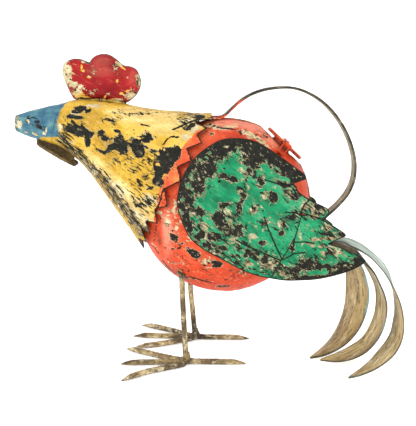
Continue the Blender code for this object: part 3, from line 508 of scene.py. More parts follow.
class Net:
    """Short words for building a node material."""

    def __init__(self, name):
        self.mat = bpy.data.materials.new(name)
        self.mat.use_nodes = True
        self.t = self.mat.node_tree
        self.t.nodes.clear()
        self.out = self.t.nodes.new("ShaderNodeOutputMaterial")
        self.bsdf = self.t.nodes.new("ShaderNodeBsdfPrincipled")
        self.t.links.new(self.bsdf.outputs[0], self.out.inputs[0])
        self.co = self.t.nodes.new("ShaderNodeTexCoord").outputs["Object"]

    def put(self, value, sock):
        if isinstance(value, bpy.types.NodeSocket):
            self.t.links.new(value, sock)
        else:
            sock.default_value = value

    def math(self, op, a, b=0.0, clamp=False):
        n = self.t.nodes.new("ShaderNodeMath")
        n.operation = op
        n.use_clamp = clamp
        self.put(a, n.inputs[0])
        self.put(b, n.inputs[1])
        return n.outputs[0]

    def noise(self, size_mm, detail=3.0, rough=0.55, stretch=None, seed=0.0, warp=0.0, along=None):
        """Noise in about 0..1 whose lumps are about size_mm wide; along=(fall in degrees, how many times longer)."""
        m = self.t.nodes.new("ShaderNodeMapping")
        self.put(self.co, m.inputs["Vector"])
        m.inputs["Location"].default_value = (seed * 3.1, seed * 1.7, seed * 2.3)
        if along:
            m.vector_type = "TEXTURE"
            m.inputs["Rotation"].default_value = (0.0, math.radians(along[0]), 0.0)
            m.inputs["Scale"].default_value = (along[1], 1.0, 1.0)
        elif stretch:
            m.inputs["Rotation"].default_value = stretch[0]
            m.inputs["Scale"].default_value = stretch[1]
        n = self.t.nodes.new("ShaderNodeTexNoise")
        self.put(m.outputs[0], n.inputs["Vector"])
        n.inputs["Scale"].default_value = 1000.0 / size_mm / 2.0
        n.inputs["Detail"].default_value = detail
        n.inputs["Roughness"].default_value = rough
        n.inputs["Distortion"].default_value = warp
        return n.outputs["Fac"]

    def attr(self, name):
        n = self.t.nodes.new("ShaderNodeAttribute")
        n.attribute_name = name
        return n.outputs["Fac"]

    def step(self, value, at, soft=0.03):
        n = self.t.nodes.new("ShaderNodeMapRange")
        n.interpolation_type = "SMOOTHSTEP"
        self.put(value, n.inputs["Value"])
        n.inputs["From Min"].default_value = at - soft
        n.inputs["From Max"].default_value = at + soft
        return n.outputs[0]

    def ramp(self, value, stops):
        n = self.t.nodes.new("ShaderNodeValToRGB")
        self.put(value, n.inputs[0])
        cr = n.color_ramp
        while len(cr.elements) < len(stops):
            cr.elements.new(0.5)
        for e, (pos, col) in zip(cr.elements, stops):
            e.position = pos
            e.color = col
        return n.outputs[0]

    def mix(self, fac, a, b, blend="MIX"):
        n = self.t.nodes.new("ShaderNodeMix")
        n.data_type = "RGBA"
        n.blend_type = blend
        self.put(fac, n.inputs[0])
        self.put(a, n.inputs[6])
        self.put(b, n.inputs[7])
        return n.outputs[2]

    def add(self, *terms):
        out = terms[0]
        for t in terms[1:]:
            out = self.math("ADD", out, t)
        return out

    def times(self, a, b):
        return self.math("MULTIPLY", a, b)

    def most(self, a, b):
        return self.math("MAXIMUM", a, b)

    def bump(self, height, distance, strength=0.7):
        n = self.t.nodes.new("ShaderNodeBump")
        n.inputs["Strength"].default_value = strength
        n.inputs["Distance"].default_value = distance
        self.put(height, n.inputs["Height"])
        self.t.links.new(n.outputs[0], self.bsdf.inputs["Normal"])

    def finish(self, colour, rough, metal=0.0, spec=0.4):
        self.put(colour, self.bsdf.inputs["Base Color"])
        self.put(rough, self.bsdf.inputs["Roughness"])
        self.put(metal, self.bsdf.inputs["Metallic"])
        self.bsdf.inputs["Specular IOR Level"].default_value = spec
        return self.mat


BLACK = [(0.35, srgb(17, 18, 15)), (0.58, srgb(32, 32, 27)), (0.78, srgb(66, 64, 52))]
CREAM = [(0.3, srgb(150, 134, 96)), (0.5, srgb(200, 184, 140)), (0.7, srgb(228, 218, 186))]
CREAM_WING = [(0.28, srgb(84, 74, 50)), (0.46, srgb(150, 136, 100)), (0.62, srgb(198, 188, 154)), (0.8, srgb(222, 214, 190))]


def worn(net, colour, ragged=0.55, chips=0.66, flecks=0.70, cream_ring=0.10, black=BLACK, cream=CREAM,
         along=(20, 1.6), scratch=0.0, islands=1.0):
    """Lay old paint over its cream ground and the dark sheet under it.

    The point fields black, cream, speckle and line say where the paint is gone; noise makes
    their edges ragged. Returns colour, height of the paint and how bare the spot is.
    """
    n_big = net.noise(9, 4, 0.6, seed=1.0, warp=0.4, along=along)
    n_mid = net.noise(3.4, 5, 0.66, seed=2.0, warp=0.4, along=along)
    n_fine = net.noise(1.4, 4, 0.66, seed=3.0, along=along)
    n_dust = net.noise(0.8, 2, 0.6, seed=4.0)
    warp = net.add(net.times(net.math("SUBTRACT", n_big, 0.5), 1.4 * ragged),
                   net.times(net.math("SUBTRACT", n_mid, 0.5), 2.5 * ragged),
                   net.times(net.math("SUBTRACT", n_fine, 0.5), 1.5 * ragged))
    speck = net.attr("speckle")
    black_f = net.add(net.attr("black"), warp)
    # cream ground showing round the bare patches and in patches of its own
    ring = net.step(net.add(black_f, net.times(net.math("SUBTRACT", n_dust, 0.5), 0.35)), 0.5 - cream_ring, 0.02)
    warp2 = net.add(net.times(net.math("SUBTRACT", n_mid, 0.5), 2.0), net.times(net.math("SUBTRACT", n_fine, 0.5), 1.6))
    cream_f = net.step(net.add(net.attr("cream"), warp2), 0.56, 0.04)
    # scattered small losses
    n_chip = net.noise(3.0, 7, 0.72, seed=5.0, warp=0.6, along=along)
    n_chip2 = net.noise(3.4, 7, 0.72, seed=6.0, warp=0.6, along=along)
    small_cream = net.step(net.add(n_chip2, net.times(speck, 0.17)), chips, 0.012)
    small_black = net.step(net.add(n_chip, net.times(speck, 0.175)), flecks, 0.010)
    # long fine scratches down to the sheet
    n_scr = net.noise(1.0, 4, 0.6, seed=17.0, along=(along[0], 9.0))
    scr = net.step(net.add(n_scr, net.times(speck, 0.12), net.times(net.attr("scratch"), 0.14)), 0.735 - scratch, 0.012)
    line_f = net.step(net.add(net.attr("line"), net.times(net.math("SUBTRACT", n_fine, 0.5), 0.6)), 0.5, 0.05)
    black_m = net.most(net.most(net.step(black_f, 0.5, 0.02), small_black), net.most(line_f, scr))
    # a bare patch keeps islands of cream
    island = net.times(net.step(net.noise(2.0, 6, 0.75, seed=8.0, warp=0.5, along=along), 0.60, 0.015),
                       net.step(n_big, 0.42, 0.1))
    cream_m = net.most(net.most(cream_f, small_cream), ring)
    tone = net.noise(3, 5, 0.7, seed=7.0)
    cream_c = net.ramp(tone, cream)
    black_c = net.ramp(net.noise(2.2, 5, 0.72, seed=9.0), black)
    # rubbed-in grime darkens the whole coat a little, in fine grains
    grime = net.step(net.noise(1.2, 6, 0.78, seed=18.0, along=along), 0.575, 0.10)
    cloud = net.step(net.noise(22, 3, 0.55, seed=19.0), 0.50, 0.20)
    colour = net.mix(net.times(grime, net.add(net.times(speck, 0.35), net.times(cloud, 0.16), 0.16)), colour, srgb(64, 52, 28))
    c = net.mix(cream_m, colour, cream_c)
    c = net.mix(black_m, c, black_c)
    c = net.mix(net.times(net.times(island, islands), net.times(black_m, net.math("SUBTRACT", 1.0, line_f))), c, cream_c)
    gone = net.math("ADD", net.times(cream_m, 0.5), net.times(black_m, 0.5), clamp=True)
    return c, gone, black_m, tone


def painted(name, tones, tone_size=14, rough=0.5, extra=None, along=(20, 1.6), spec=0.14, rub_c=(226, 200, 138), **kw):
    net = Net(name)
    base = net.ramp(net.noise(tone_size, 6, 0.66, seed=11.0, along=along), tones)
    # fine rubbed streaks in the paint
    rub = net.noise(1.5, 5, 0.65, seed=12.0, along=(along[0], 5.0))
    base = net.mix(net.times(net.step(rub, 0.60, 0.08), 0.35), base, srgb(*rub_c))
    if extra:
        base = extra(net, base)
    colour, gone, bare, tone = worn(net, base, along=along, **kw)
    # dirt darkens the coat: real grime at welds, seams and joints, and painted shade under the lid, on the lower comb
    # and along the underside of the neck
    dirt = net.step(net.add(net.attr("dirt"), net.times(net.math("SUBTRACT", net.noise(2.4, 6, 0.72, seed=13.0), 0.5), 1.5)),
                    0.5, 0.20)
    colour = net.mix(net.times(dirt, 0.8), colour, srgb(46, 40, 28))
    height = net.math("SUBTRACT", net.add(net.times(net.noise(1.0, 4, 0.65, seed=14.0), 0.35),
                                          net.times(net.noise(7, 3, 0.5, seed=15.0), 0.6)), gone)
    net.bump(height, 0.0005, 0.7)
    rough_v = net.add(net.times(net.noise(3, 3, 0.6, seed=16.0), 0.22), net.times(bare, 0.12), rough - 0.12)
    return net.finish(colour, rough_v, 0.0, spec)


def patina(name, tones, streak, dark=(58, 46, 30), pale=(214, 202, 172), metal=0.35, teal=False, rough=0.55,
           pitted=0.69, spots=0.63, grains=0.45, spec=0.3):
    """Old lacquered steel: tan film with brown runs, dark pits and worn pale spots."""
    net = Net(name)
    if teal:
        place = net.t.nodes.new("ShaderNodeCombineXYZ")
        for k, word in enumerate(("run", "across", "flip")):
            net.put(net.attr(word), place.inputs[k])
        net.co = place.outputs[0]
    base = net.ramp(net.noise(16, 5, 0.62, seed=1.0, stretch=streak), tones)
    run = net.step(net.noise(4.5, 5, 0.66, seed=2.0, stretch=streak, warp=0.5), 0.58, 0.06)
    c = net.mix(net.times(run, 0.55), base, srgb(*dark))
    worn_spot = net.step(net.noise(3.4, 6, 0.75, seed=3.0, stretch=streak, warp=0.4), spots, 0.04)
    c = net.mix(net.times(worn_spot, 0.65), c, srgb(*pale))
    grain = net.noise(1.2, 6, 0.75, seed=4.0, stretch=streak)
    c = net.mix(net.times(net.step(grain, 0.56, 0.06), grains), c, srgb(*dark))
    pit = net.step(net.noise(2.4, 6, 0.75, seed=5.0, warp=0.6), pitted, 0.02)
    if teal:
        green = net.ramp(net.noise(7, 5, 0.65, seed=6.0, stretch=streak),
                         [(0.35, srgb(70, 78, 62)), (0.47, srgb(122, 136, 120)), (0.56, srgb(156, 172, 160)), (0.68, srgb(210, 220, 208))])
        side = net.step(net.add(net.attr("outer"), net.times(net.math("SUBTRACT", grain, 0.5), 0.3)), 0.5, 0.05)
        c = net.mix(side, c, green)
        rim = net.step(net.add(net.attr("rim"), net.times(net.math("SUBTRACT", net.noise(3, 4, 0.6, seed=7.0), 0.5), 0.8)),
                       0.5, 0.10)
        c = net.mix(net.times(rim, 0.9), c, net.ramp(net.noise(6, 4, 0.6, seed=8.0, stretch=streak),
                                                     [(0.42, srgb(44, 42, 30)), (0.54, srgb(70, 68, 50)), (0.60, srgb(74, 104, 104)),
                                                      (0.70, srgb(120, 176, 178))]))
    dirt = net.step(net.add(net.attr("dirt"), net.times(net.math("SUBTRACT", grain, 0.5), 0.8)), 0.5, 0.25)
    c = net.mix(net.times(dirt, 0.8), c, srgb(*dark))
    c = net.mix(net.times(pit, 0.8), c, srgb(38, 32, 24))
    height = net.math("SUBTRACT", net.add(net.times(net.noise(1.4, 4, 0.65, seed=9.0), 0.6),
                                          net.times(net.noise(6, 3, 0.5, seed=10.0), 0.8)), pit)
    net.bump(height, 0.0005, 0.6)
    rough_v = net.add(net.times(net.noise(4, 4, 0.6, seed=11.0), 0.3), rough - 0.15)
    return net.finish(c, rough_v, metal, spec)


def neck_extra(net, base):
    """Pale over the back (rubbed paint, and along the top a painted highlight), orange over the hackle points, blue
    over the face.
    """
    w = net.times(net.math("SUBTRACT", net.noise(4, 5, 0.65, seed=21.0, warp=0.5), 0.5), 0.9)
    fine = net.times(net.math("SUBTRACT", net.noise(1.2, 3, 0.6, seed=22.0), 0.5), 0.4)
    pale = net.step(net.add(net.attr("pale"), w), 0.5, 0.22)
    c = net.mix(net.times(pale, 0.75), base,
                net.ramp(net.noise(6, 5, 0.6, seed=23.0, stretch=((0, 0.1, 0), (0.4, 1, 1))),
                         [(0.35, srgb(206, 174, 102)), (0.55, srgb(238, 210, 138)), (0.7, srgb(246, 232, 190))]))
    orange = net.step(net.add(net.attr("orange"), net.times(w, 0.5), fine), 0.5, 0.04)
    c = net.mix(orange, c, net.ramp(net.noise(8, 5, 0.6, seed=24.0),
                                    [(0.35, srgb(196, 72, 38)), (0.5, srgb(222, 92, 52)), (0.66, srgb(220, 134, 74))]))
    blue = net.step(net.add(net.attr("blue"), net.times(w, 1.0), net.times(fine, 2.0)), 0.5, 0.04)
    blues = net.ramp(net.noise(7, 5, 0.62, seed=25.0, stretch=((0, 0.3, 0), (0.6, 1, 1))),
                     [(0.3, srgb(40, 78, 104)), (0.45, srgb(62, 108, 130)), (0.58, srgb(84, 132, 142)),
                      (0.72, srgb(150, 172, 158))])
    c = net.mix(blue, c, blues)
    return c


YELLOW = [(0.30, srgb(132, 102, 38)), (0.42, srgb(182, 142, 46)), (0.54, srgb(212, 170, 60)), (0.70, srgb(232, 196, 98))]
ORANGE = [(0.30, srgb(176, 56, 30)), (0.44, srgb(202, 66, 34)), (0.58, srgb(216, 80, 46)), (0.74, srgb(210, 106, 70))]
GREEN = [(0.30, srgb(6, 70, 48)), (0.42, srgb(10, 116, 76)), (0.54, srgb(18, 146, 96)), (0.66, srgb(66, 162, 116)),
         (0.80, srgb(110, 148, 98))]
RED = [(0.30, srgb(96, 8, 16)), (0.44, srgb(134, 14, 22)), (0.58, srgb(164, 28, 32)), (0.76, srgb(196, 70, 60))]


def body_extra(net, base):
    w = net.times(net.math("SUBTRACT", net.noise(6, 5, 0.65, seed=31.0, warp=0.5), 0.5), 0.9)
    # the pale field lifts the orange to pink: a painted highlight, mostly along the top of the body
    pale = net.step(net.add(net.attr("pale"), w), 0.5, 0.30)
    return net.mix(net.times(pale, 0.65), base, srgb(244, 158, 132))


def comb_highlight(net, base):
    w = net.add(net.times(net.math("SUBTRACT", net.noise(3.0, 5, 0.65, seed=41.0, warp=0.5), 0.5), 1.0),
                net.times(net.math("SUBTRACT", net.noise(1.1, 3, 0.6, seed=42.0), 0.5), 0.5))
    # painted highlight: the pale field lightens the red over the top of the comb
    pale = net.step(net.add(net.attr("pale"), net.times(w, 0.6)), 0.5, 0.35)
    return net.mix(net.times(pale, 0.30), base, srgb(196, 104, 88))


def comb_yellow(net, c):
    w = net.add(net.times(net.math("SUBTRACT", net.noise(2.6, 5, 0.65, seed=43.0, warp=0.5), 0.5), 1.2),
                net.times(net.math("SUBTRACT", net.noise(1.0, 3, 0.6, seed=44.0), 0.5), 0.6))
    y = net.step(net.add(net.attr("yellow"), w), 0.55, 0.05)
    return net.mix(y, c, srgb(224, 176, 72))


M_NECK = painted("neck_paint", YELLOW, 16, 0.5, neck_extra, (34, 2.2), ragged=0.48, chips=0.735, flecks=0.676,
                 cream_ring=0.02, scratch=0.016, islands=0.35)
M_BODY = painted("body_paint", ORANGE, 20, 0.46, body_extra, (25, 1.5), ragged=0.6, chips=0.712, flecks=0.690,
                 cream_ring=0.05, rub_c=(234, 130, 92))
M_WING = painted("wing_paint", GREEN, 12, 0.5, None, (38, 1.7), ragged=0.72, chips=0.680, flecks=0.668, cream_ring=0.08,
                 cream=CREAM_WING, rub_c=(120, 168, 124), scratch=0.02)
M_COMB = painted("comb_paint", RED, 18, 0.42, lambda n, b: comb_yellow(n, comb_highlight(n, b)), (25, 1.6), ragged=0.6,
                 chips=0.70, flecks=0.735, cream_ring=0.04, rub_c=(190, 92, 70))
M_LID = painted("lid_paint", ORANGE, 12, 0.45, None, (43, 1.5), ragged=0.6, chips=0.72, flecks=0.73, cream_ring=0.03,
                rub_c=(234, 130, 92))
TAN = [(0.30, srgb(120, 98, 60)), (0.44, srgb(170, 146, 98)), (0.58, srgb(196, 174, 124)), (0.74, srgb(216, 202, 164))]
M_TAIL = patina("tail_patina", TAN, ((0, 0, 0), (0.22, 1, 1)), dark=(76, 56, 28), pale=(230, 222, 196), teal=True,
                metal=0.05, rough=0.5, pitted=0.66, spots=0.585, grains=0.75)
LEG_TONES = [(0.34, srgb(54, 46, 30)), (0.45, srgb(112, 94, 60)), (0.54, srgb(176, 154, 108)), (0.68, srgb(222, 206, 164))]
M_LEG = patina("leg_patina", LEG_TONES, ((0, 0, 0), (1, 1, 0.45)), dark=(40, 34, 24), pale=(228, 214, 178), metal=0.05,
               rough=0.5, pitted=0.59, spots=0.56, grains=0.8)
M_TOE = patina("toe_patina", LEG_TONES, ((0, 0, 0), (0.5, 1, 1)), dark=(40, 34, 24), pale=(228, 214, 178), metal=0.05,
               rough=0.5, pitted=0.59, spots=0.56, grains=0.8)
M_HANDLE = patina("handle_patina", [(0.32, srgb(56, 54, 44)), (0.48, srgb(84, 82, 68)), (0.6, srgb(110, 106, 90)),
                                    (0.74, srgb(150, 146, 128))], ((0, 0, 0), (0.5, 1, 0.5)), dark=(34, 32, 26),
                  pale=(196, 192, 176), metal=0.3, teal=False, rough=0.45)
M_WATTLE = patina("wattle_patina", [(0.35, srgb(44, 34, 18)), (0.5, srgb(92, 74, 40)), (0.7, srgb(150, 124, 72))],
                  ((0, 0.5, 0), (0.4, 1, 1)), dark=(28, 22, 14), pale=(186, 160, 104), metal=0.05, rough=0.55)
M_PIN = patina("pin_steel", [(0.35, srgb(60, 58, 52)), (0.55, srgb(104, 100, 92)), (0.7, srgb(140, 136, 126))],
               ((0, 0, 0), (1, 1, 1)), metal=0.7, rough=0.42)


def dress(obj, mat, slot, *replaced, **fields):
    """Give a piece its finish and its fields of wear, grime, painted shade and painted highlight, and hide the CAD
    parts it replaces.
    """
    for key in ("black", "cream", "speckle", "line", "dirt", "pale", "scratch"):
        if key not in fields:
            fields[key] = 0.0
    n = len(obj.data.vertices)
    for key, val in fields.items():
        attribute(obj, key, np.broadcast_to(np.asarray(val, float), (n,)))
    obj.data.materials.clear()
    obj.data.materials.append(mat)
    if replaced:
        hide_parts(*replaced)


# ------------------------------------------------------------------ lid frame
CENTRE = Vector(to_m(BODY_C))
LID_N = Vector((math.sin(LID_TILT), 0.0, math.cos(LID_TILT)))
LID_T = Vector((math.cos(LID_TILT), 0.0, -math.sin(LID_TILT)))
LID_ROT = Matrix(((LID_T.x, 0.0, LID_N.x), (0.0, 1.0, 0.0), (LID_T.z, 0.0, LID_N.z))).to_4x4()


def disc_frame(t, y, n):
    return CENTRE + LID_T * (t * MM) + Vector((0, y * MM, 0)) + LID_N * (n * MM)


# ------------------------------------------------------------------ body shells
NECK_DIR = Vector((-0.86, 0.0, 0.51)).normalized()


def body_shell(name, side):
    around, across = 144, 44
    rows = []
    for i in range(across):
        a = math.pi / 2 * (1 - i / across)          # from the seam to the pole at the side
        ring = []
        for k in range(around):
            b = 2 * math.pi * k / around
            ring.append((BODY_C[0] + BODY_A * math.sin(a) * math.cos(b), side * BODY_B * math.cos(a),
                         BODY_C[2] + BODY_H * math.sin(a) * math.sin(b)))
        rows.append(ring)
    pts = np.array(rows).reshape(-1, 3)
    pts = np.vstack([pts, [(BODY_C[0], side * BODY_B, BODY_C[2])]])
    # beaten by hand: broad flats and small dents, none standing proud of the form
    rel = (pts - BODY_C) / np.array((BODY_A ** 2, BODY_B ** 2, BODY_H ** 2))
    nrm = rel / np.linalg.norm(rel, axis=1)[:, None]
    dents = 0.9 * field(pts, 30, 3.0, 2) + 0.5 * field(pts, 11, 5.0, 2) - 0.9
    edge = np.clip((np.abs(pts[:, 1])) / 3.0, 0, 1)
    pts = pts + nrm * (np.minimum(dents, 0.1) * edge)[:, None]
    lean = (pts[:, 0] - BODY_C[0]) * LID_N.x + (pts[:, 2] - BODY_C[2]) * LID_N.z
    over = np.maximum(0, lean - FLAT_AT)
    pts[:, 0] -= over * LID_N.x
    pts[:, 2] -= over * LID_N.z
    pts[:, 1] += side * SEAM
    faces = grid_faces(across, around)
    last = (across - 1) * around
    pole = across * around
    faces += [(last + j, last + (j + 1) % around, pole) for j in range(around)]
    if side > 0:
        faces = [f[::-1] for f in faces]
    obj = piece(name, pts, faces)
    mid = obj.data.polygons[len(faces) // 2]
    if (mid.center - CENTRE).dot(mid.normal) < 0:
        obj.data.flip_normals()
    thicken(obj, SHEET, -1.0)
    cut(obj, drum(Matrix.Translation(disc_frame(-2.0, 0, FLAT_AT)) @ LID_ROT, 11.0, 30))
    cut(obj, drum(Matrix.Translation(CENTRE + NECK_DIR * 95 * MM) @ NECK_DIR.to_track_quat("Z", "Y").to_matrix().to_4x4(),
                  33, 60))
    applied(obj)
    p = coords(obj)
    x, z = side_view(p)
    line = np.maximum(strokes(x, z, BODY_LINES, 0.9), 1 - 0.5 * (np.abs(p[:, 1]) - SEAM) / 0.7)
    inner = np.linalg.norm((p - BODY_C) / np.array((BODY_A, BODY_B, BODY_H)), axis=1) < 0.988 - 0.012
    legs = [1 - 0.5 * np.linalg.norm(p - np.array(LEGS[w][0]) + (0, 0, 16), axis=1) / 7.0 for w in LEGS]
    collar = np.linalg.norm(p - np.array(tuple(disc_frame(-2, 0, FLAT_AT))) / MM, axis=1)
    # dirt on the body: darker round the leg tops, along the shell seam, on the breast band and in a low strip on the
    # side; the ring round the fill collar is painted shade under the lid; the inside faces are set fully dark
    dirt = np.maximum.reduce([*legs, 1 - 0.5 * collar / 16.0, 1 - 0.5 * (np.abs(p[:, 1])) / 2.0,
                              0.62 * patches(x, z, [(-56, 148, 3, 20, 12), (30, 110, 26, 2.5, -12)])])
    dress(obj, M_BODY, "orange_paint", name.replace("_form", ""),
          black=patches(x, z, BODY_BLACK, 1.12), cream=0.92 * patches(x, z, BODY_CREAM),
          speckle=np.maximum(patches(x, z, BODY_SPECKLE, 1.3), 0.6 * patches(x, z, [(0, 110, 80, 30, -15), (-40, 150, 30, 40, 0)])),
          line=line, dirt=np.where(inner, 1.0, dirt), pale=patches(x, z, BODY_PALE_AND_HIGHLIGHT))
    return obj


body_shell("body_left_shell_form", -1)
body_shell("body_right_shell_form", 1)


def tube(name, line_mm, radius, body="can", around=16, radii=None, lumps=0.0, lump_size=4.0, seed=0.0, closed=False,
         floor=None, caps=True):
    """A round rod along a line; lumps gives the forged, uneven surface."""
    line = np.array(line_mm, float)
    n = len(line)
    rad = np.full(n, radius) if radii is None else np.asarray(radii, float)
    tang = np.gradient(line, axis=0)
    if closed:
        tang = np.roll(line, -1, axis=0) - np.roll(line, 1, axis=0)
    tang /= np.linalg.norm(tang, axis=1)[:, None]
    up = np.array((0.0, 0.0, 1.0)) if abs(tang[0][2]) < 0.8 else np.array((0.0, 1.0, 0.0))
    rows = []
    for i in range(n):
        side = np.cross(up, tang[i])
        side /= np.linalg.norm(side)
        up = np.cross(tang[i], side)
        for k in range(around):
            a = 2 * math.pi * k / around
            rows.append(line[i] + rad[i] * (side * math.cos(a) + up * math.sin(a)))
    pts = np.array(rows)
    if lumps:
        centre = np.repeat(line, around, axis=0)
        out = pts - centre
        length = np.maximum(np.linalg.norm(out, axis=1), 1e-6)
        f = field(pts, lump_size, seed, 3)
        pts = centre + out * (1 + np.minimum(f, 0.5) * lumps / np.maximum(length, 1.0))[:, None]
    if floor is not None:
        pts[:, 2] = np.maximum(pts[:, 2], floor)
    faces = grid_faces(n, around)
    if closed:
        b = (n - 1) * around
        faces += [(b + j, b + (j + 1) % around, (j + 1) % around, j) for j in range(around)]
    elif caps:
        pts = np.vstack([pts, [pts[:around].mean(0)], [pts[-around:].mean(0)]])
        c0, c1, b = n * around, n * around + 1, (n - 1) * around
        faces += [((j + 1) % around, j, c0) for j in range(around)]
        faces += [(b + j, b + (j + 1) % around, c1) for j in range(around)]
    obj = piece(name, pts, faces, body)
    outward(obj)
    smooth(obj, 60)
    return obj


# soldered seam where the two body shells meet
ring = []
for k in range(300):
    b = 2 * math.pi * k / 300
    x, z = BODY_A * math.cos(b), BODY_H * math.sin(b)
    n = (x * LID_N.x + z * LID_N.z)
    if n > FLAT_AT:
        x -= (n - FLAT_AT) * LID_N.x
        z -= (n - FLAT_AT) * LID_N.z
    ring.append((BODY_C[0] + x, 0.0, BODY_C[2] + z))
ring = np.array(ring)
lean = (ring[:, 0] - BODY_C[0]) * LID_N.x + (ring[:, 2] - BODY_C[2]) * LID_N.z
fall = (ring[:, 0] - BODY_C[0]) * LID_T.x + (ring[:, 2] - BODY_C[2]) * LID_T.z
toward_neck = (ring - BODY_C) @ np.array(NECK_DIR)
keep = ~((lean > 90) & (np.abs(fall) < 15)) & (toward_neck < 88)
start = int(np.argmax(keep & ~np.roll(keep, 1)))
ring, keep = np.roll(ring, -start, axis=0), np.roll(keep, -start)
runs, run = [], []
for p, k in zip(ring, keep):
    if k:
        run.append(p)
    elif run:
        runs.append(run)
        run = []
if run:
    runs.append(run)
for i, run in enumerate(r for r in runs if len(r) > 8):
    line = BODY_C + (np.array(run) - BODY_C) * 0.9965
    seam = tube("body_seam_%d" % (i + 1), line, 0.9, around=10, lumps=0.35, lump_size=3.0, seed=6.0 + i)
    p = coords(seam)
    x, z = side_view(p)
    dress(seam, M_BODY, "orange_paint", black=0.30, speckle=0.6, dirt=0.35, pale=patches(x, z, BODY_PALE_AND_HIGHLIGHT),
          cream=patches(x, z, BODY_CREAM))


# ------------------------------------------------------------------ neck, head and beak
def stations(table, per_span):
    flat = [(*t, *b, w) for t, b, w in table]
    return [((r[0], r[1]), (r[2], r[3]), r[4]) for r in curve_through(flat, per_span)]


def section(top, bottom, half, count, clear=None):
    top, bottom = np.array(top), np.array(bottom)
    mid, arm = (top + bottom) / 2, (top - bottom) / 2
    out = []
    for k in range(count):
        a = 2 * math.pi * k / count
        x, z = mid + arm * math.cos(a)
        y = half * math.sin(a)
        if clear is not None:
            e = ((x - BODY_C[0]) / (BODY_A + clear), y / (BODY_B + clear), (z - BODY_C[2]) / (BODY_H + clear))
            s = math.sqrt(sum(c * c for c in e))
            soft = 0.5 * (s + 1 + math.sqrt((s - 1) ** 2 + 0.03 ** 2))
            if s < 1.15:
                x, y, z = (BODY_C[0] + (x - BODY_C[0]) / s * soft, y / s * soft, BODY_C[2] + (z - BODY_C[2]) / s * soft)
        out.append((x, y, z))
    return out


def head_fields(p, x, z):
    """Where the face is blue: left of a line that falls from the brow to the jaw."""
    brow = np.interp(z, [250, 256.5, 257.5, 264, 270, 276, 283, 288, 293, 300], [-193, -189, -165, -166, -167.5, -167, -165.5,
                                                                              -163.5, -160.5, -157])
    return np.clip(0.5 + (brow - x) / 6.0, 0, 1)


rows = [section(t, b, w, 132, 1.0) for t, b, w in stations(NECK, 10)]
n_rows = len(rows)
pts = np.array(rows).reshape(-1, 3)
centre = np.repeat(np.array([np.mean(r, axis=0) for r in rows]), 132, axis=0)
out = pts - centre
out /= np.linalg.norm(out, axis=1)[:, None]
dents = 1.0 * field(pts, 34, 13.0, 2) + 0.45 * field(pts, 10, 15.0, 2)
near_body = np.clip((np.linalg.norm((pts - BODY_C) / np.array((BODY_A, BODY_B, BODY_H)), axis=1) - 1.0) / 0.10, 0, 1)
pts = pts + out * (np.clip(dents, -1.2, 0.5) * (0.15 + 0.85 * near_body))[:, None]
neck = piece("neck_hackle_form", pts, grid_faces(n_rows, 132))
if neck.data.polygons[5].normal.dot(Vector(out[5])) < 0:
    neck.data.flip_normals()
thicken(neck, SHEET, 1.0)
cut(neck, prism(HACKLE_EDGE + [(-72, 90), (60, 90), (60, 300)], -90, 90))
applied(neck, 35)
p = coords(neck)
x, z = side_view(p)
zig = distance(p[:, 0], p[:, 2], HACKLE_EDGE[1:])
throat_y = np.abs(p[:, 1])
throat_d = distance(p[:, 0], p[:, 2], THROAT)
throat = strokes(p[:, 0], p[:, 2], [[(a + 3, c + 2) for a, c in THROAT]], 1.5)
band = np.clip(1.25 - throat_d / 12.0, 0, 1)
side_orange = distance(x, z, ORANGE_EDGE)
edge_x = np.interp(z, [c for _, c in ORANGE_EDGE][::-1], [a for a, _ in ORANGE_EDGE][::-1])
orange = np.clip(0.5 + (x - edge_x) / 8.0, 0, 1) * (z < 266)
lower = np.clip((z - 140) / 60, 0, 1)
comb_near = patches(p[:, 0], p[:, 2], [(-112, 297, 26, 2.2, -4)]) * (np.abs(p[:, 1]) < 16)
# dirt on the neck: darker just under the comb, over the lower middle and at the neck's foot; the band along the throat
# below z 240 is painted shade on the underside of the neck
dress(neck, M_NECK, "yellow_paint", "neck_hackle",
      black=np.maximum(patches(x, z, NECK_BLACK, 1.36), 0.60 * throat),
      cream=np.maximum(patches(x, z, NECK_CREAM), 0.55 * band), speckle=np.maximum(patches(x, z, NECK_SPECKLE, 1.45), 0.45 * patches(x, z, [(-75, 210, 34, 46, 0), (-110, 245, 50, 20, -20)])),
      line=np.maximum(strokes(x, z, NECK_LINES, 1.0), 1 - 0.5 * zig / 1.0),
      scratch=np.maximum.reduce([0.9 * patches(x, z, [(-55, 284, 60, 5, -4), (-70, 180, 16, 30, 30)]), 1.35 * band,
                                 0.5 * patches(x, z, [(-70, 225, 30, 30, 0), (-150, 258, 16, 16, 0)])]),
      dirt=np.maximum.reduce([0.9 * comb_near, 0.55 * band * (z < 240), 0.35 * patches(x, z, [(-70, 225, 40, 34, -20)]), 0.95 * patches(p[:, 0], p[:, 2], [(-66, 152, 6, 10, 30), (-60, 140, 8, 8, 0)])]),
      pale=patches(x, z, NECK_PALE_AND_HIGHLIGHT), orange=orange, blue=head_fields(p, x, z))

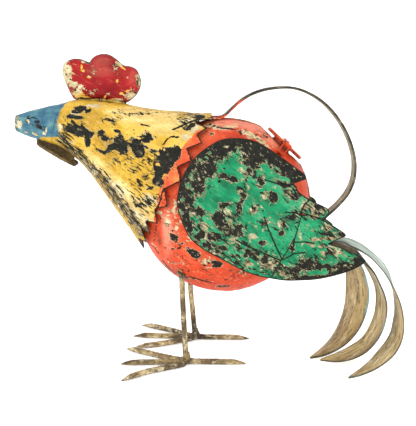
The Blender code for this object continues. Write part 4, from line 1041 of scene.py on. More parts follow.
rows = [section(t, b, w, 96) for t, b, w in stations(BEAK, 12)]
n_rows = len(rows)
pts = np.array(rows).reshape(-1, 3)
centre = np.repeat(np.array([np.mean(r, axis=0) for r in rows]), 96, axis=0)
out = pts - centre
out /= np.linalg.norm(out, axis=1)[:, None]
dents = 0.45 * field(pts, 16, 23.0, 2) + 0.2 * field(pts, 6, 25.0, 2)
pts = pts + out * np.clip(dents, -0.8, 0.3)[:, None] * np.clip((pts[:, 0] + 217.5) / 12, 0.1, 1)[:, None]
beak = piece("beak_spout_form", pts, grid_faces(n_rows, 96))
if beak.data.polygons[5].normal.dot(Vector(out[5])) < 0:
    beak.data.flip_normals()
thicken(beak, SHEET, 1.0)
applied(beak, 35)
p = coords(beak)
x, z = side_view(p, 3, -2)
rim = np.clip(1 - (x + 217.5) / 5.0, 0, 1)
dress(beak, M_NECK, "blue_paint", "beak_spout",
      black=patches(x, z, [(-160, 250, 3, 1.5, 0)]),
      cream=np.maximum(patches(x, z, [(-212, 270, 3.8, 5, 0), (-202, 273, 1.6, 3.4, 20), (-181, 264, 0.9, 4.5, -20),
                                      (-196, 260, 3.8, 1, -30), (-184, 262, 0.8, 3.5, -25), (-206, 262, 3, 1, -25)]),
                       0.6 * rim),
      speckle=patches(x, z, [(-190, 268, 22, 12, 0), (-200, 275, 12, 5, 10)]) * 0.7,
      line=strokes(x, z, [[(-202, 277), (-197, 278.5), (-193, 278), (-189, 275.5)]], 0.7),
      dirt=0.6 * rim, pale=0.0, orange=0.0, blue=head_fields(p, x, z))
# the soldered joint between beak and head
ring = np.array(section((-165.8, 292.6), (-177.7, 249.2), 21.7, 120))
mid = ring.mean(0)
ring = mid + (ring - mid) * (1 + 0.95 / 21.5)
joint = tube("beak_joint", ring, 0.55, around=10, lumps=0.3, lump_size=2.5, seed=2.0, closed=True)
p = coords(joint)
x, z = side_view(p)
dress(joint, M_NECK, "yellow_paint", black=0.1, speckle=0.5, dirt=0.1, orange=0.0, blue=head_fields(p, x, z))
# rolled lip round the spout's mouth
ring = np.array(section((-217.0, 279.6), (-217.0, 262.8), 8.9, 72))
lip = tube("beak_lip", ring + (0.3, 0, 0), 0.75, around=10, lumps=0.2, lump_size=2.5, seed=3.0, closed=True)
p = coords(lip)
dress(lip, M_NECK, "blue_paint", cream=0.55, speckle=0.6, dirt=0.25, orange=0.0, blue=1.0)
# throat seam: the folded flange under the neck
line = []
for t, b, w in stations(NECK, 6):
    q = section(t, b, w, 132, 1.0)[66]
    line.append((q[0] - 1.2 * 0.6, 0.0, q[2] - 1.2 * 0.8))
line = np.array(line)
line = line[(line[:, 2] > 150)]
flange = tube("throat_seam", line, 1.0, around=10, lumps=0.4, lump_size=5.0, seed=4.0)
p = coords(flange)
dress(flange, M_NECK, "yellow_paint", black=0.15, cream=0.62, speckle=0.5, dirt=0.2, orange=0.0, blue=head_fields(p, p[:, 0], p[:, 2]))


def weld_lump(name, centres, body="can", size=3.0, seed=0.0, squash=(1, 1, 1), floor=None, rough=0.35):
    """A puddled weld: overlapping beads merged into one lumpy skin."""
    bm = bmesh.new()
    for c, r in centres:
        tmp = bmesh.ops.create_icosphere(bm, subdivisions=3, radius=1.0)
        for v in tmp["verts"]:
            q = np.array(v.co) * np.array(squash) * r + np.array(c)
            v.co = Vector(to_m(q))
    mesh = bpy.data.meshes.new(name)
    bm.to_mesh(mesh)
    bm.free()
    obj = bpy.data.objects.new(name, mesh)
    PIECES.objects.link(obj)
    mod = obj.modifiers.new("merge", "REMESH")
    mod.mode = "VOXEL"
    mod.voxel_size = 0.55 * MM
    mod.use_smooth_shade = True
    sm = obj.modifiers.new("flow", "SMOOTH")
    sm.factor = 0.5
    sm.iterations = 4
    applied(obj, 80)
    p = coords(obj)
    nr = normals(obj)
    p = p + nr * (rough * 1.6 * field(p, size, 71.0 + seed, 3) + rough * 0.7 * field(p, size * 0.45, 73.0 + seed, 2))[:, None]
    if floor is not None:
        p[:, 2] = np.maximum(p[:, 2], floor)
    set_coords(obj, p)
    smooth(obj, 80)
    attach(obj, body)
    return obj


# ------------------------------------------------------------------ comb
def comb_half(name, side):
    edge = resample(closed_through(COMB_EDGE, 8), 1.0)
    mid = np.array(COMB_MID)
    levels = list(1 - np.linspace(0, 1, 9)[1:] ** 1.6 * 0.12) + list(np.linspace(0.86, 0.06, 30))
    ringpts = [edge]
    for r in levels:
        ringpts.append(mid + (edge - mid) * r)
    xz = np.vstack(ringpts + [mid[None, :]])
    d = distance(xz[:, 0], xz[:, 1], edge, closed=True)
    r_round = 12.5
    u = np.clip(d / r_round, 0, 1)
    y = 9.3 * np.sqrt(np.clip(1 - (1 - u) ** 2, 0, 1)) ** 0.85
    lobes = [[(-133.5, 339), (-127, 328), (-122, 318)], [(-92, 335), (-98, 327), (-103, 318)]]
    for line in lobes:
        y -= 1.3 * np.exp(-(distance(xz[:, 0], xz[:, 1], line) / 3.2) ** 2) * np.clip(d / 5, 0, 1)
    pts = np.column_stack([xz[:, 0], np.zeros(len(xz)), xz[:, 1]])
    bumpy = 0.5 * field(pts * (1, 0, 1) + (0, side * 30, 0), 14, 31.0, 2)
    y = y + np.minimum(bumpy, 0.3) * np.clip(d / 6, 0, 1)
    pts[:, 1] = side * (0.18 + np.maximum(y, 0))
    m = len(edge)
    faces = grid_faces(len(ringpts), m)
    last = (len(ringpts) - 1) * m
    faces += [(last + j, last + (j + 1) % m, len(ringpts) * m) for j in range(m)]
    # flat back so that each half is one closed form
    back = [tuple(range(m))]
    obj = piece(name + "_form", pts, faces + back)
    outward(obj)
    smooth(obj, 60)
    p = coords(obj)
    x, z = side_view(p, 4, -2)
    d = distance(p[:, 0], p[:, 2], edge, closed=True)
    # pale is a painted highlight over the top of the comb; dirt is painted shade along the lower edge and over the
    # lower middle, with a dark line round the rim
    dress(obj, M_COMB, "red_paint", name,
          black=patches(x, z, COMB_BLACK), cream=patches(x, z, COMB_CREAM),
          speckle=np.maximum(patches(x, z, [(-157, 322, 9, 16, 0), (-140, 306, 12, 7, 0), (-85, 306, 10, 8, 30)]),
                             patches(x, z, [(-130, 330, 9, 7, 0), (-104, 333, 11, 5, -40)])),
          line=1 - 0.5 * d / 0.45, dirt=np.maximum.reduce([0.6 * (z < 298.5) * (1 - 0.5 * d / 2.0), 0.30 * patches(x, z, [(-116, 309, 16, 9, 0)]), 0.55 * (1 - 0.5 * d / 1.2)]), pale=patches(x, z, [(-118, 340, 9, 6, 0), (-84, 324, 4, 8, 0), (-120, 330, 16, 6, 0)]),
          yellow=patches(x, z, COMB_YELLOW))
    return edge


edge = comb_half("comb_left", -1)
comb_half("comb_right", 1)
# filled seam between the two comb halves
loop = np.column_stack([edge[:, 0], np.zeros(len(edge)), edge[:, 1]])
inset = np.array(COMB_MID)
loop[:, 0] = inset[0] + (loop[:, 0] - inset[0]) * 0.985
loop[:, 2] = inset[1] + (loop[:, 2] - inset[1]) * 0.985
seam = tube("comb_seam", loop, 0.6, around=8, lumps=0.3, lump_size=2.0, seed=8.0, closed=True)
dress(seam, M_COMB, "red_paint", black=0.55, speckle=0.8, dirt=0.4, yellow=0.0)
# weld that holds the comb on the head
foot = curve_through([(-146, -3.4, 297.4), (-132, -4.2, 297.6), (-118, -4.4, 297.5), (-104, -4.2, 295.6), (-93, -3.2, 293.6)], 10)
for word, s in (("left", 1), ("right", -1)):
    weld = tube("comb_weld_" + word, foot * (1, s, 1), 1.5, around=12, lumps=1.1, lump_size=3.0, seed=9.0 + s)
    p = coords(weld)
    dress(weld, M_NECK, "yellow_paint", black=0.35, cream=0.45, speckle=0.8, dirt=0.45, pale=0.4, orange=0.0, blue=0.0)


# ------------------------------------------------------------------ blades
def blade(name, near, far, crown, thickness, per_span, across, edge_round=True):
    near, far = curve_through(near, per_span), curve_through(far, per_span)
    n = len(near)
    rows = []
    sides = []
    for i in range(n):
        a, b = near[i], far[i]
        k0, k1 = max(i - 1, 0), min(i + 1, n - 1)
        run = (near[k1] + far[k1]) - (near[k0] + far[k0])
        up = np.cross(b - a, run)
        up = up / max(np.linalg.norm(up), 1e-9)
        width = np.linalg.norm(b - a)
        h = thickness / 2
        us = np.linspace(0, 1, across + 1)
        mid_line = [a + (b - a) * u + up * crown * min(1.0, width / 20) * 4 * u * (1 - u) for u in us]
        lip = min(0.8, width * 0.2) / max(width, 1e-6)
        outer, inner = [], []
        for u, m in zip(us, mid_line):
            e = min(u, 1 - u)
            hh = h * (math.sqrt(max(0.0, 1 - (1 - min(e / lip, 1.0)) ** 2)) * 0.9 + 0.1) if e < lip else h
            outer.append(m + up * hh)
            inner.append(m - up * hh)
        rows.append(outer + inner[::-1])
        sides += [1.0] * len(outer) + [0.0] * len(inner)
    m = len(rows[0])
    pts = np.array(rows).reshape(-1, 3)
    faces = grid_faces(n, m)
    pts = np.vstack([pts, [np.mean(rows[0], axis=0)], [np.mean(rows[-1], axis=0)]])
    sides += [0.5, 0.5]
    b = (n - 1) * m
    faces += [((j + 1) % m, j, n * m) for j in range(m)] + [(b + j, b + (j + 1) % m, n * m + 1) for j in range(m)]
    u_all = np.concatenate([np.tile(np.concatenate([us, us[::-1]]), n), [0.5, 0.5]])
    width_all = np.concatenate([np.repeat(np.linalg.norm(far - near, axis=1), m), [5, 5]])
    run = np.concatenate([[0], np.cumsum(np.linalg.norm(np.diff((near + far) / 2, axis=0), axis=1))])
    run_all = np.concatenate([np.repeat(run, m), [run[0], run[-1]]])
    return pts, faces, np.array(sides), u_all, width_all, run_all


for name, (near, far, crown) in TAIL.items():
    pts, faces, sides, u_all, width_all, run_all = blade(name, near, far, crown, 1.8, 9, 22)
    ripple = 0.35 * field(pts, 26, 41.0, 2)
    pts = pts + np.column_stack([ripple, np.zeros(len(ripple)), ripple]) * 0.7
    pts[:, 2] = np.maximum(pts[:, 2], 0.3)
    obj = piece(name + "_form", pts, faces)
    outward(obj)
    smooth(obj, 50)
    edge_mm = np.minimum(u_all, 1 - u_all) * width_all
    p = coords(obj)
    dress(obj, M_TAIL, "patina_steel", name, outer=(1 - sides) * (0.82 if "rear" in name else np.clip((p[:, 0] - 166) / 8, 0, 1)), rim=1 - 0.5 * edge_mm / 1.45,
          run=run_all * MM, across=(u_all - 0.5) * width_all * MM, flip=(1 - sides) * 0.05 + 0.01 * len(name),
          dirt=0.2 * (1 - np.clip((p[:, 0] - 112) / 14, 0, 1)))

for name, side in (("wattle_left", -1), ("wattle_right", 1)):
    line = curve_through(WATTLE_LINE, 1)
    inner = [(x, side * 0.5, z) for x, z in line]
    outer = [(x, side * (0.5 + 2 * h), z + 0.12 * h) for (x, z), h in zip(line, WATTLE_HALF)]
    pair = (inner, outer) if side > 0 else (outer, inner)
    pts, faces, sides, u_all, width_all, run_all = blade(name, pair[0], pair[1], 0.8, 1.5, 14, 12)
    pts[:, 2] += 0.3 * field(pts, 9, 43.0, 2)
    obj = piece(name + "_form", pts, faces)
    outward(obj)
    smooth(obj, 50)
    dress(obj, M_WATTLE, "dark_steel", name, dirt=0.0)
    # each petal's front edge is dressed over a wire
    rimline = np.array([(x, side * (0.5 + 2 * h), z + 0.12 * h) for (x, z), h in
                        zip(curve_through(WATTLE_LINE, 12), curve_through([(h,) for h in WATTLE_HALF], 12)[:, 0])])
    to_end = np.minimum(np.arange(len(rimline)), np.arange(len(rimline))[::-1]) * (49.0 / len(rimline))
    rim = tube(name + "_rim", rimline, 1.9, around=14, lumps=0.4, lump_size=3.0, seed=11.0 + side,
               radii=2.0 * np.sqrt(1 - (1 - np.clip((to_end + 0.25) / 3.0, 0, 1)) ** 2))
    dress(rim, M_WATTLE, "dark_steel", dirt=0.0)
# solder where the wattles hang from the throat, made thick and dark to fill the gap under the throat: partly solder,
# partly a dark lump standing in for shade
beads = []
for k in range(13):
    bx = -193.5 + 3.2 * k
    top_z = float(np.interp(bx, [-204.5, -191, -178, -163.5, -142.5], [257.6, 253.6, 249.2, 243, 226]))
    low_z = float(np.interp(bx, [-193, -178, -163, -150.5], [247.6, 239.2, 230.6, 223.6]))
    beads += [((bx, 0.0, low_z + (top_z - low_z) * f), 2.3) for f in (0.1, 0.38, 0.66, 0.9)]
throat_weld_and_shade = weld_lump("wattle_weld", beads, seed=14.0, rough=0.4, size=3.5)
dress(throat_weld_and_shade, M_WATTLE, "dark_steel", dirt=0.3)


# ------------------------------------------------------------------ wings
def wing_y(x, z, off):
    q = ((x - BODY_C[0]) / BODY_A) ** 2 + ((z - BODY_C[2]) / BODY_H) ** 2
    return 34.0 + off + 28.0 * np.exp(-q)


def wing_layer(name, table, sharp, lines, side, off, shift, thickness, under=None):
    outline = resample(closed_through(table, 6, sharp), 1.3)
    for i in sharp:                                    # keep the feather points exactly
        k = int(np.argmin(np.hypot(*(outline - table[i]).T)))
        outline[k] = table[i]
    n = len(outline)
    step = 1.45
    x0, z0 = outline.min(0)
    x1, z1 = outline.max(0)
    gx, gz = np.meshgrid(np.arange(x0, x1, step), np.arange(z0, z1, step * 0.866))
    gx = gx + (np.arange(gx.shape[0]) % 2)[:, None] * step / 2
    gx, gz = gx.ravel(), gz.ravel()
    d = distance(gx, gz, outline, closed=True)
    inside = np.zeros(len(gx), bool)
    ox, oz = outline[:, 0], outline[:, 1]
    for i in range(n):
        j = (i + 1) % n
        cond = ((oz[i] > gz) != (oz[j] > gz)) & (gx < (ox[j] - ox[i]) * (gz - oz[i]) / (oz[j] - oz[i] + 1e-12) + ox[i])
        inside ^= cond
    sel = inside & (d > 0.75)
    verts = np.vstack([outline, np.column_stack([gx[sel], gz[sel]])])
    res = delaunay_2d_cdt([Vector(v) for v in verts], [(i, (i + 1) % n) for i in range(n)], [], 1, 1e-5)
    xz = np.array([tuple(v) for v in res[0]])
    tris = res[2]
    d_edge = distance(xz[:, 0], xz[:, 1], outline, closed=True)
    d_line = np.full(len(xz), 1e9)
    for line in lines:
        d_line = np.minimum(d_line, distance(xz[:, 0], xz[:, 1], line))
    pts3 = np.column_stack([xz[:, 0], np.full(len(xz), side * 50.0), xz[:, 1]])
    # beaten feathers: pillows between chased lines, the rim dressed down
    relief = 0.9 * (1 - np.exp(-(np.minimum(d_line, d_edge) / 7.0) ** 2)) - 0.9 * np.exp(-(d_line / 1.0) ** 2)
    relief += 0.45 * field(pts3, 17, 51.0 + off, 2) + 0.2 * field(pts3, 6, 53.0, 2)
    relief -= 0.5 * np.exp(-(d_edge / 1.6) ** 2)
    relief = np.minimum(relief, 1.2)
    y_in = wing_y(xz[:, 0] + shift[0], xz[:, 1] + shift[1], off) - 0.3
    y_out = y_in + thickness + 0.3 + relief * 0.8
    m = len(xz)
    front = np.column_stack([xz[:, 0] + shift[0], side * y_out, xz[:, 1] + shift[1]])
    backv = np.column_stack([xz[:, 0] + shift[0], side * np.minimum(y_in + np.maximum(relief, 0) * 0.4, y_out - 0.7),
                             xz[:, 1] + shift[1]])
    faces = [tuple(t) for t in tris] + [tuple(i + m for i in t[::-1]) for t in tris]
    count = {}
    for t in tris:
        for a, b in zip(t, list(t[1:]) + [t[0]]):
            count[(a, b)] = count.get((a, b), 0) + 1
    for (a, b) in count:
        if (b, a) not in count:
            faces.append((b, a, a + m, b + m))
    obj = piece(name + "_form", np.vstack([front, backv]), faces)
    outward(obj)
    smooth(obj, 50)
    x, z = np.tile(xz[:, 0], 2), np.tile(xz[:, 1], 2)
    if side > 0:
        x, z = x + 9, z - 7
    edge2, line2 = np.tile(d_edge, 2), np.tile(d_line, 2)
    lower = np.clip((off < 2) * 1.0, 0, 1)
    back_face = np.concatenate([np.zeros(m), np.ones(m)])
    low_rim = np.clip(1.25 - 0.5 * edge2 / 4.0, 0, 1) * np.clip((x - 82) / 10, 0, 1) * (z < 121)
    top_rim = np.clip(1.15 - 0.5 * edge2 / 6.0, 0, 1) * np.clip((z - 150 + np.minimum(x, 60) * 0.9) / 20, 0, 1) * (z > 150)
    top_rim = top_rim * ((x < 70) | (z > 208))
    finger = patches(x, z, [(74, 233, 15, 9, -36), (92, 221, 13, 7, -34), (102, 214, 5, 3.5, -20), (58, 243, 12, 9, -20)])
    inner_cream = np.exp(-((edge2 - 3.0) / 1.2) ** 2) * 0.66 * ((x < 40) | (z > 215))
    dress(obj, M_WING, "green_paint", name,
          black=np.maximum.reduce([patches(x, z, WING_BLACK, 1.22), low_rim if off < 2 else 0.9 * top_rim,
                                   0.0 * x if off < 2 else finger]),
          cream=np.maximum.reduce([1.0 * patches(x, z, WING_CREAM), inner_cream,
                                    1.2 * patches(x, z, [(121, 180, 12, 7, 20), (108, 184, 6, 5, 20), (128, 146, 20, 2.2, 4)])]),
          speckle=np.maximum(patches(x, z, WING_SPECKLE, 1.3), 0.35 * (line2 < 4)),
          scratch=np.clip(1.2 - edge2 / 30, 0, 1) * 0.6,
          line=np.maximum(1 - 0.5 * line2 / 0.85, 1 - 0.5 * edge2 / 1.25),
          dirt=np.where(back_face > 0, 0.4, 0.0))


for word, side, shift in (("left", -1, (0.0, 0.0)), ("right", 1, (-3.0, -3.0))):
    wing_layer("wing_" + word + "_coverts", COVERTS_EDGE, COVERTS_SHARP, COVERT_LINES, side, 3.0, shift, 1.2)
    wing_layer("wing_" + word + "_primaries", PRIMARIES_EDGE, PRIMARIES_SHARP, PRIMARY_LINES, side, 0.9, shift, 1.2)

# ------------------------------------------------------------------ handle
line = curve_through(HANDLE_LINE, 7)
n = len(line)
rows, inner_flag, edge_flag = [], [], []
w, h, r = HANDLE_W / 2, HANDLE_T / 2, 1.0
shape = []
for cx, cz, a0 in ((w - r, h - r, 0), (-(w - r), h - r, 90), (-(w - r), -(h - r), 180), (w - r, -(h - r), 270)):
    for k in range(5):
        a = math.radians(a0 + 90 * k / 4)
        shape.append((cx + r * math.cos(a), cz + r * math.sin(a)))
dense = []
for (a0, b0), (a1, b1) in zip(shape, shape[1:] + shape[:1]):
    steps = max(1, int(abs(a1 - a0) / 2.0))
    dense += [(a0 + (a1 - a0) * k / steps, b0 + (b1 - b0) * k / steps) for k in range(steps)]
for i in range(n):
    a, b = line[max(i - 1, 0)], line[min(i + 1, n - 1)]
    t = (b - a) / np.linalg.norm(b - a)
    nrm = np.array((-t[1], t[0]))
    for y, u in dense:
        q = line[i] + nrm * u
        rows.append((q[0], y, q[1]))
        inner_flag.append(u < 0)
        edge_flag.append(abs(y) > w - 0.9)
pts = np.array(rows)
m = len(dense)
faces = grid_faces(n, m)
pts = np.vstack([pts, [pts[:m].mean(0)], [pts[-m:].mean(0)]])
b = (n - 1) * m
faces += [((j + 1) % m, j, n * m) for j in range(m)] + [(b + j, b + (j + 1) % m, n * m + 1) for j in range(m)]
pts = pts + np.column_stack([0.25 * field(pts, 12, 61.0, 2), 0.3 * field(pts, 15, 63.0, 2), 0.25 * field(pts, 12, 65.0, 2)]) * 0.7
handle = piece("handle_strap_form", pts, faces)
outward(handle)
smooth(handle, 35)


def handle_material():
    net = Net("handle_strap_finish")
    outer = net.ramp(net.noise(5, 7, 0.75, seed=1.0, warp=0.4), [(0.38, srgb(26, 26, 21)), (0.50, srgb(52, 50, 40)),
                                                                 (0.62, srgb(98, 90, 70)), (0.76, srgb(172, 164, 142))])
    inner = net.ramp(net.noise(6, 7, 0.75, seed=2.0, warp=0.4), [(0.34, srgb(98, 88, 66)), (0.5, srgb(140, 128, 100)),
                                                        (0.64, srgb(168, 156, 126)), (0.78, srgb(196, 188, 164))])
    fine = net.times(net.math("SUBTRACT", net.noise(1.4, 4, 0.65, seed=3.0), 0.5), 0.5)
    c = net.mix(net.step(net.add(net.attr("inner"), fine), 0.5, 0.06), outer, inner)
    edge = net.step(net.add(net.attr("edge"), net.times(fine, 1.6)), 0.6, 0.12)
    c = net.mix(net.times(edge, 0.8), c, net.ramp(net.noise(5, 4, 0.6, seed=4.0),
                                                  [(0.38, srgb(24, 24, 19)), (0.54, srgb(52, 50, 40)), (0.72, srgb(142, 134, 112))]))
    orange = net.step(net.add(net.attr("orange"), net.times(net.math("SUBTRACT", net.noise(4, 5, 0.7, seed=5.0), 0.5), 1.3)),
                      0.5, 0.05)
    c = net.mix(orange, c, net.ramp(net.noise(3, 4, 0.6, seed=6.0), [(0.35, srgb(186, 66, 36)), (0.6, srgb(230, 96, 60))]))
    pit = net.step(net.noise(2.4, 5, 0.72, seed=7.0, warp=0.6), 0.66, 0.02)
    c = net.mix(net.times(pit, 0.7), c, srgb(34, 32, 26))
    net.bump(net.math("SUBTRACT", net.noise(2.5, 4, 0.65, seed=8.0), pit), 0.0005, 0.6)
    return net.finish(c, net.add(net.times(net.noise(4, 4, 0.6, seed=9.0), 0.3), 0.40), 0.1, 0.2)


M_HANDLE = handle_material()
p = coords(handle)
inner_flag = np.array(inner_flag + [0, 0], float)
edge_flag = np.array(edge_flag + [1, 1], float)
dress(handle, M_HANDLE, "dark_steel", "handle_strap", inner=inner_flag, edge=edge_flag,
      orange=np.maximum(patches(p[:, 0], p[:, 2], [(14, 279, 14, 3, 10), (33, 293, 12, 3.2, 42)]) * (0.6 + 0.4 * inner_flag),
                        patches(p[:, 0], p[:, 2], [(117, 142, 6, 8, 0)])))


weld = weld_lump("handle_weld_front", [((5 + 2.4 * k, y, 277.7), 1.5) for k in range(5) for y in (-10.5, 10.5)]
                 + [((2.6, y, 278.2), 1.5) for y in (-7, -3.5, 0, 3.5, 7)], seed=1.0)
dress(weld, M_LID, "orange_paint", cream=0.35, speckle=0.5, dirt=0.1)
weld = weld_lump("handle_weld_rear", [((115.6 + 0.5 * k, y, 138 + 2.5 * k), 1.8) for k in range(4) for y in (-10.6, 10.6)]
                 + [((114.0, y, 136.6), 2.2) for y in (-9, -6, -3, 0, 3, 6, 9)], seed=2.0)
dress(weld, M_LID, "orange_paint", black=0.3, cream=0.3, speckle=0.9, dirt=0.5)
weld = weld_lump("tail_weld", [((112 + 1.5 * math.sin(k), -12 + 3 * k, 129.5 - 0.4 * k), 2.6) for k in range(9)]
                 + [((109 + 1.5 * math.cos(k), -12 + 3 * k, 122.0), 2.6) for k in range(9)], seed=3.0, rough=0.5)
dress(weld, M_LEG, "patina_steel", dirt=0.5)

# ------------------------------------------------------------------ legs, feet
for word in ("left", "right"):
    line = curve_through([tuple(q) for q in LEGS[word]], 26)
    e = (line - BODY_C) / np.array((BODY_A, BODY_B, BODY_H))
    s = np.linalg.norm(e, axis=1)
    line = line[s > 0.985]
    leg = tube("leg_%s_form" % word, line, LEG_R - 0.12, around=24, lumps=0.25, lump_size=7.0, seed=20.0 + (word == "left"))
    p = coords(leg)
    top = line[0]
    dress(leg, M_LEG, "patina_steel", "leg_" + word,
          dirt=np.maximum(0.9 * (1 - 0.5 * (top[2] - p[:, 2]) / 7.0), 0.75 * (1 - 0.5 * np.abs(p[:, 2] - 12) / 7)))
    ring = []
    for k in range(12):
        a = 2 * math.pi * k / 12
        ring.append(((top[0] + 3.7 * math.cos(a), top[1] + 3.7 * math.sin(a), top[2] - 0.6 + 0.9 * math.sin(2.2 * k)
                      - 0.25 * 3.7 * math.cos(a) * (1 if top[0] < BODY_C[0] else -1)), 1.8))
    weld = weld_lump("leg_weld_" + word, ring, seed=4.0 + (word == "left"), rough=0.45)
    dress(weld, M_LEG, "patina_steel", dirt=0.6)
    ax, ay = ANKLES[word]
    lumps = [((ax, ay, 4.2), 4.6), ((ax + 1.0, ay - 0.6, 8.2), 4.2), ((ax + 0.4, ay, 11.8), 3.9)]
    for toe, tpts in TOES[word].items():
        path = curve_through([(ax, ay)] + tpts, 14)
        far = np.array(tpts[-1], float)
        left = np.linalg.norm(path - far, axis=1)
        # drawn down under the hammer: a long taper to a blunt point
        rr = np.clip((left / 15.0) ** 0.62, 0.20, 1.0)
        base = TOE_R - TOE_SINK
        path3 = np.column_stack([path, base * (0.30 + 0.70 * rr)])
        gone = np.linalg.norm(path - (ax, ay), axis=1) < 1.5
        path3, rad = path3[~gone], (TOE_R - 0.05) * rr[~gone]
        obj = tube("toe_%s_%s_form" % (word, toe), path3, TOE_R, around=20, radii=rad, lumps=0.42, lump_size=6.0,
                   seed=30.0 + len(toe) + 7 * (word == "left"), floor=0.0)
        p = coords(obj)
        from_ankle = np.hypot(p[:, 0] - ax, p[:, 1] - ay)
        dress(obj, M_TOE, "patina_steel", "toe_%s_%s" % (word, toe),
              dirt=np.maximum.reduce([0.8 * (1 - 0.5 * (from_ankle - 4) / 6), 0.75 * (1 - 0.5 * p[:, 2] / 1.4),
                                      0.7 * (1 - 0.5 * np.hypot(p[:, 0] - far[0], p[:, 1] - far[1]) / 6)]))
        d = np.array(tpts[0], float) - (ax, ay)
        d /= np.linalg.norm(d)
        lumps += [((ax + d[0] * 4.5, ay + d[1] * 4.5, 3.7), 3.7), ((ax + d[0] * 7.5, ay + d[1] * 7.5, 4.2), 2.9)]
    weld = weld_lump("ankle_weld_" + word, lumps, seed=6.0 + (word == "left"), floor=0.0, rough=0.55)
    dress(weld, M_LEG, "patina_steel", dirt=0.42)

# ------------------------------------------------------------------ collar, lid and hinge


def turned(name, profile, matrix, body, steps=96, smooth_angle=45):
    bm = bmesh.new()
    verts = [bm.verts.new((r * MM, 0, h * MM)) for r, h in profile]
    edges = [bm.edges.new((a, b)) for a, b in zip(verts[:-1], verts[1:])]
    if profile[0][0] > 0.0:
        edges.append(bm.edges.new((verts[-1], verts[0])))
    bmesh.ops.spin(bm, geom=verts + edges, cent=(0, 0, 0), axis=(0, 0, 1), angle=2 * math.pi,
                   steps=steps, use_merge=True, use_duplicate=False)
    bmesh.ops.remove_doubles(bm, verts=bm.verts, dist=0.000005)
    bm.normal_update()
    bmesh.ops.recalc_face_normals(bm, faces=bm.faces)
    if bm.calc_volume(signed=True) < 0:
        bmesh.ops.reverse_faces(bm, faces=bm.faces)
    bm.transform(matrix)
    mesh = bpy.data.meshes.new(name)
    bm.to_mesh(mesh)
    bm.free()
    obj = bpy.data.objects.new(name, mesh)
    PIECES.objects.link(obj)
    smooth(obj, smooth_angle)
    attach(obj, body)
    return obj


def fillet(cx, cz, r, a0, a1, count):
    return [(cx + r * math.cos(math.radians(a0 + (a1 - a0) * k / count)),
             cz + r * math.sin(math.radians(a0 + (a1 - a0) * k / count))) for k in range(count + 1)]


low, top = 95.1 - FLAT_AT, 100.1 - FLAT_AT
profile = [(11.0, low), (12.0, low)] + fillet(11.62, top - 0.38, 0.38, 0, 90, 4) + fillet(11.38, top - 0.38, 0.38, 90, 180, 4)
collar = turned("fill_collar_form", profile, Matrix.Translation(disc_frame(-2, 0, FLAT_AT)) @ LID_ROT, "can")
dress(collar, M_LID, "orange_paint", "fill_collar", cream=0.2, speckle=0.5, dirt=0.1)
ring = [disc_frame(-2 + 12.2 * math.cos(a), 12.2 * math.sin(a), FLAT_AT + 0.3) for a in np.linspace(0, 2 * math.pi, 90)[:-1]]
ring = np.array([tuple(v) for v in ring]) / MM - (SHIFT_X, 0, 0)
weld = tube("collar_solder", ring, 0.7, around=10, lumps=0.4, lump_size=2.2, seed=44.0, closed=True)
dress(weld, M_LID, "orange_paint", black=0.3, cream=0.3, speckle=0.9, dirt=0.5)

h = 0.6
bead_mid, bead = 23.5, 2.0
profile = [(0.0, h), (6.0, h + 0.0), (12.0, h), (18.0, h)]
profile += [(bead_mid + bead * math.cos(math.radians(a)), h - bead + bead * math.sin(math.radians(a)))
            for a in range(90, -165, -15)]
profile += [(bead_mid - bead - 0.6, -h), (16.0, -h), (8.0, -h), (0.0, -h)]
lid = turned("lid_disc_form", profile, Matrix.Translation(disc_frame(0, 0, 101.1)) @ LID_ROT, "lid", 128)
p = coords(lid)
rel = np.array([tuple(Vector(to_m(q)) - disc_frame(0, 0, 101.1)) for q in p]) / MM
t_ = rel @ np.array(LID_T)
rad = np.hypot(t_, rel[:, 1])
wave = 0.22 * field(p, 9, 81.0, 2)
set_coords(lid, p - np.outer(np.abs(wave) * (rel @ np.array(LID_N) < 0.7), np.array(LID_N)) * 0.5)
dress(lid, M_LID, "orange_paint", "lid_disc",
      black=np.maximum(0.75 * (1 - 0.5 * np.abs(rad - 20.9) / 0.6), patches(t_, rel[:, 1], [(4, 14, 5, 3, 0), (-12, 8, 3, 4, 20)])),
      cream=patches(t_, rel[:, 1], [(-22, 6, 3, 4, 0), (12, 16, 3, 4, 0)]), speckle=0.15,
      dirt=0.5 * (rel @ np.array(LID_N) < -0.4))

# strap across the lid, rolled round the pin: outline in the plane across the hinge line
HY, HN, KR, BR = -29.5, 100.45, 2.8, 1.52
low_edge = 102.65 - 0.6
meet = math.asin((low_edge - HN) / KR)
outline = [(20.0 - 0.4, 103.25), (10.0, 103.25), (0.0, 103.25), (-10.0, 103.25), (-20.0, 103.25)]
outline += [(HY + KR * math.cos(a), HN + KR * math.sin(a)) for a in np.linspace(math.pi / 2, 2 * math.pi + meet, 40)]
outline += [(-20.0, low_edge), (-10.0, low_edge), (0.0, low_edge), (10.0, low_edge), (20.0 - 0.4, low_edge), (20.0, low_edge + 0.35), (20.0, 103.25 - 0.35)]
bm = bmesh.new()
face = bm.faces.new([bm.verts.new(disc_frame(-2.9, y, nn)) for y, nn in outline])
hole = [bm.verts.new(disc_frame(-2.9, HY + BR * math.cos(a), HN + BR * math.sin(a))) for a in np.linspace(0, 2 * math.pi, 33)[:-1]]
for v in hole:
    bm.verts.remove(v)
out = bmesh.ops.extrude_face_region(bm, geom=[face])
moved = [g for g in out["geom"] if isinstance(g, bmesh.types.BMVert)]
bmesh.ops.translate(bm, verts=moved, vec=LID_T * (5.8 * MM))
bm.normal_update()
bmesh.ops.recalc_face_normals(bm, faces=bm.faces)
if bm.calc_volume(signed=True) < 0:
    bmesh.ops.reverse_faces(bm, faces=bm.faces)
mesh = bpy.data.meshes.new("lid_strap_form")
bm.to_mesh(mesh)
bm.free()
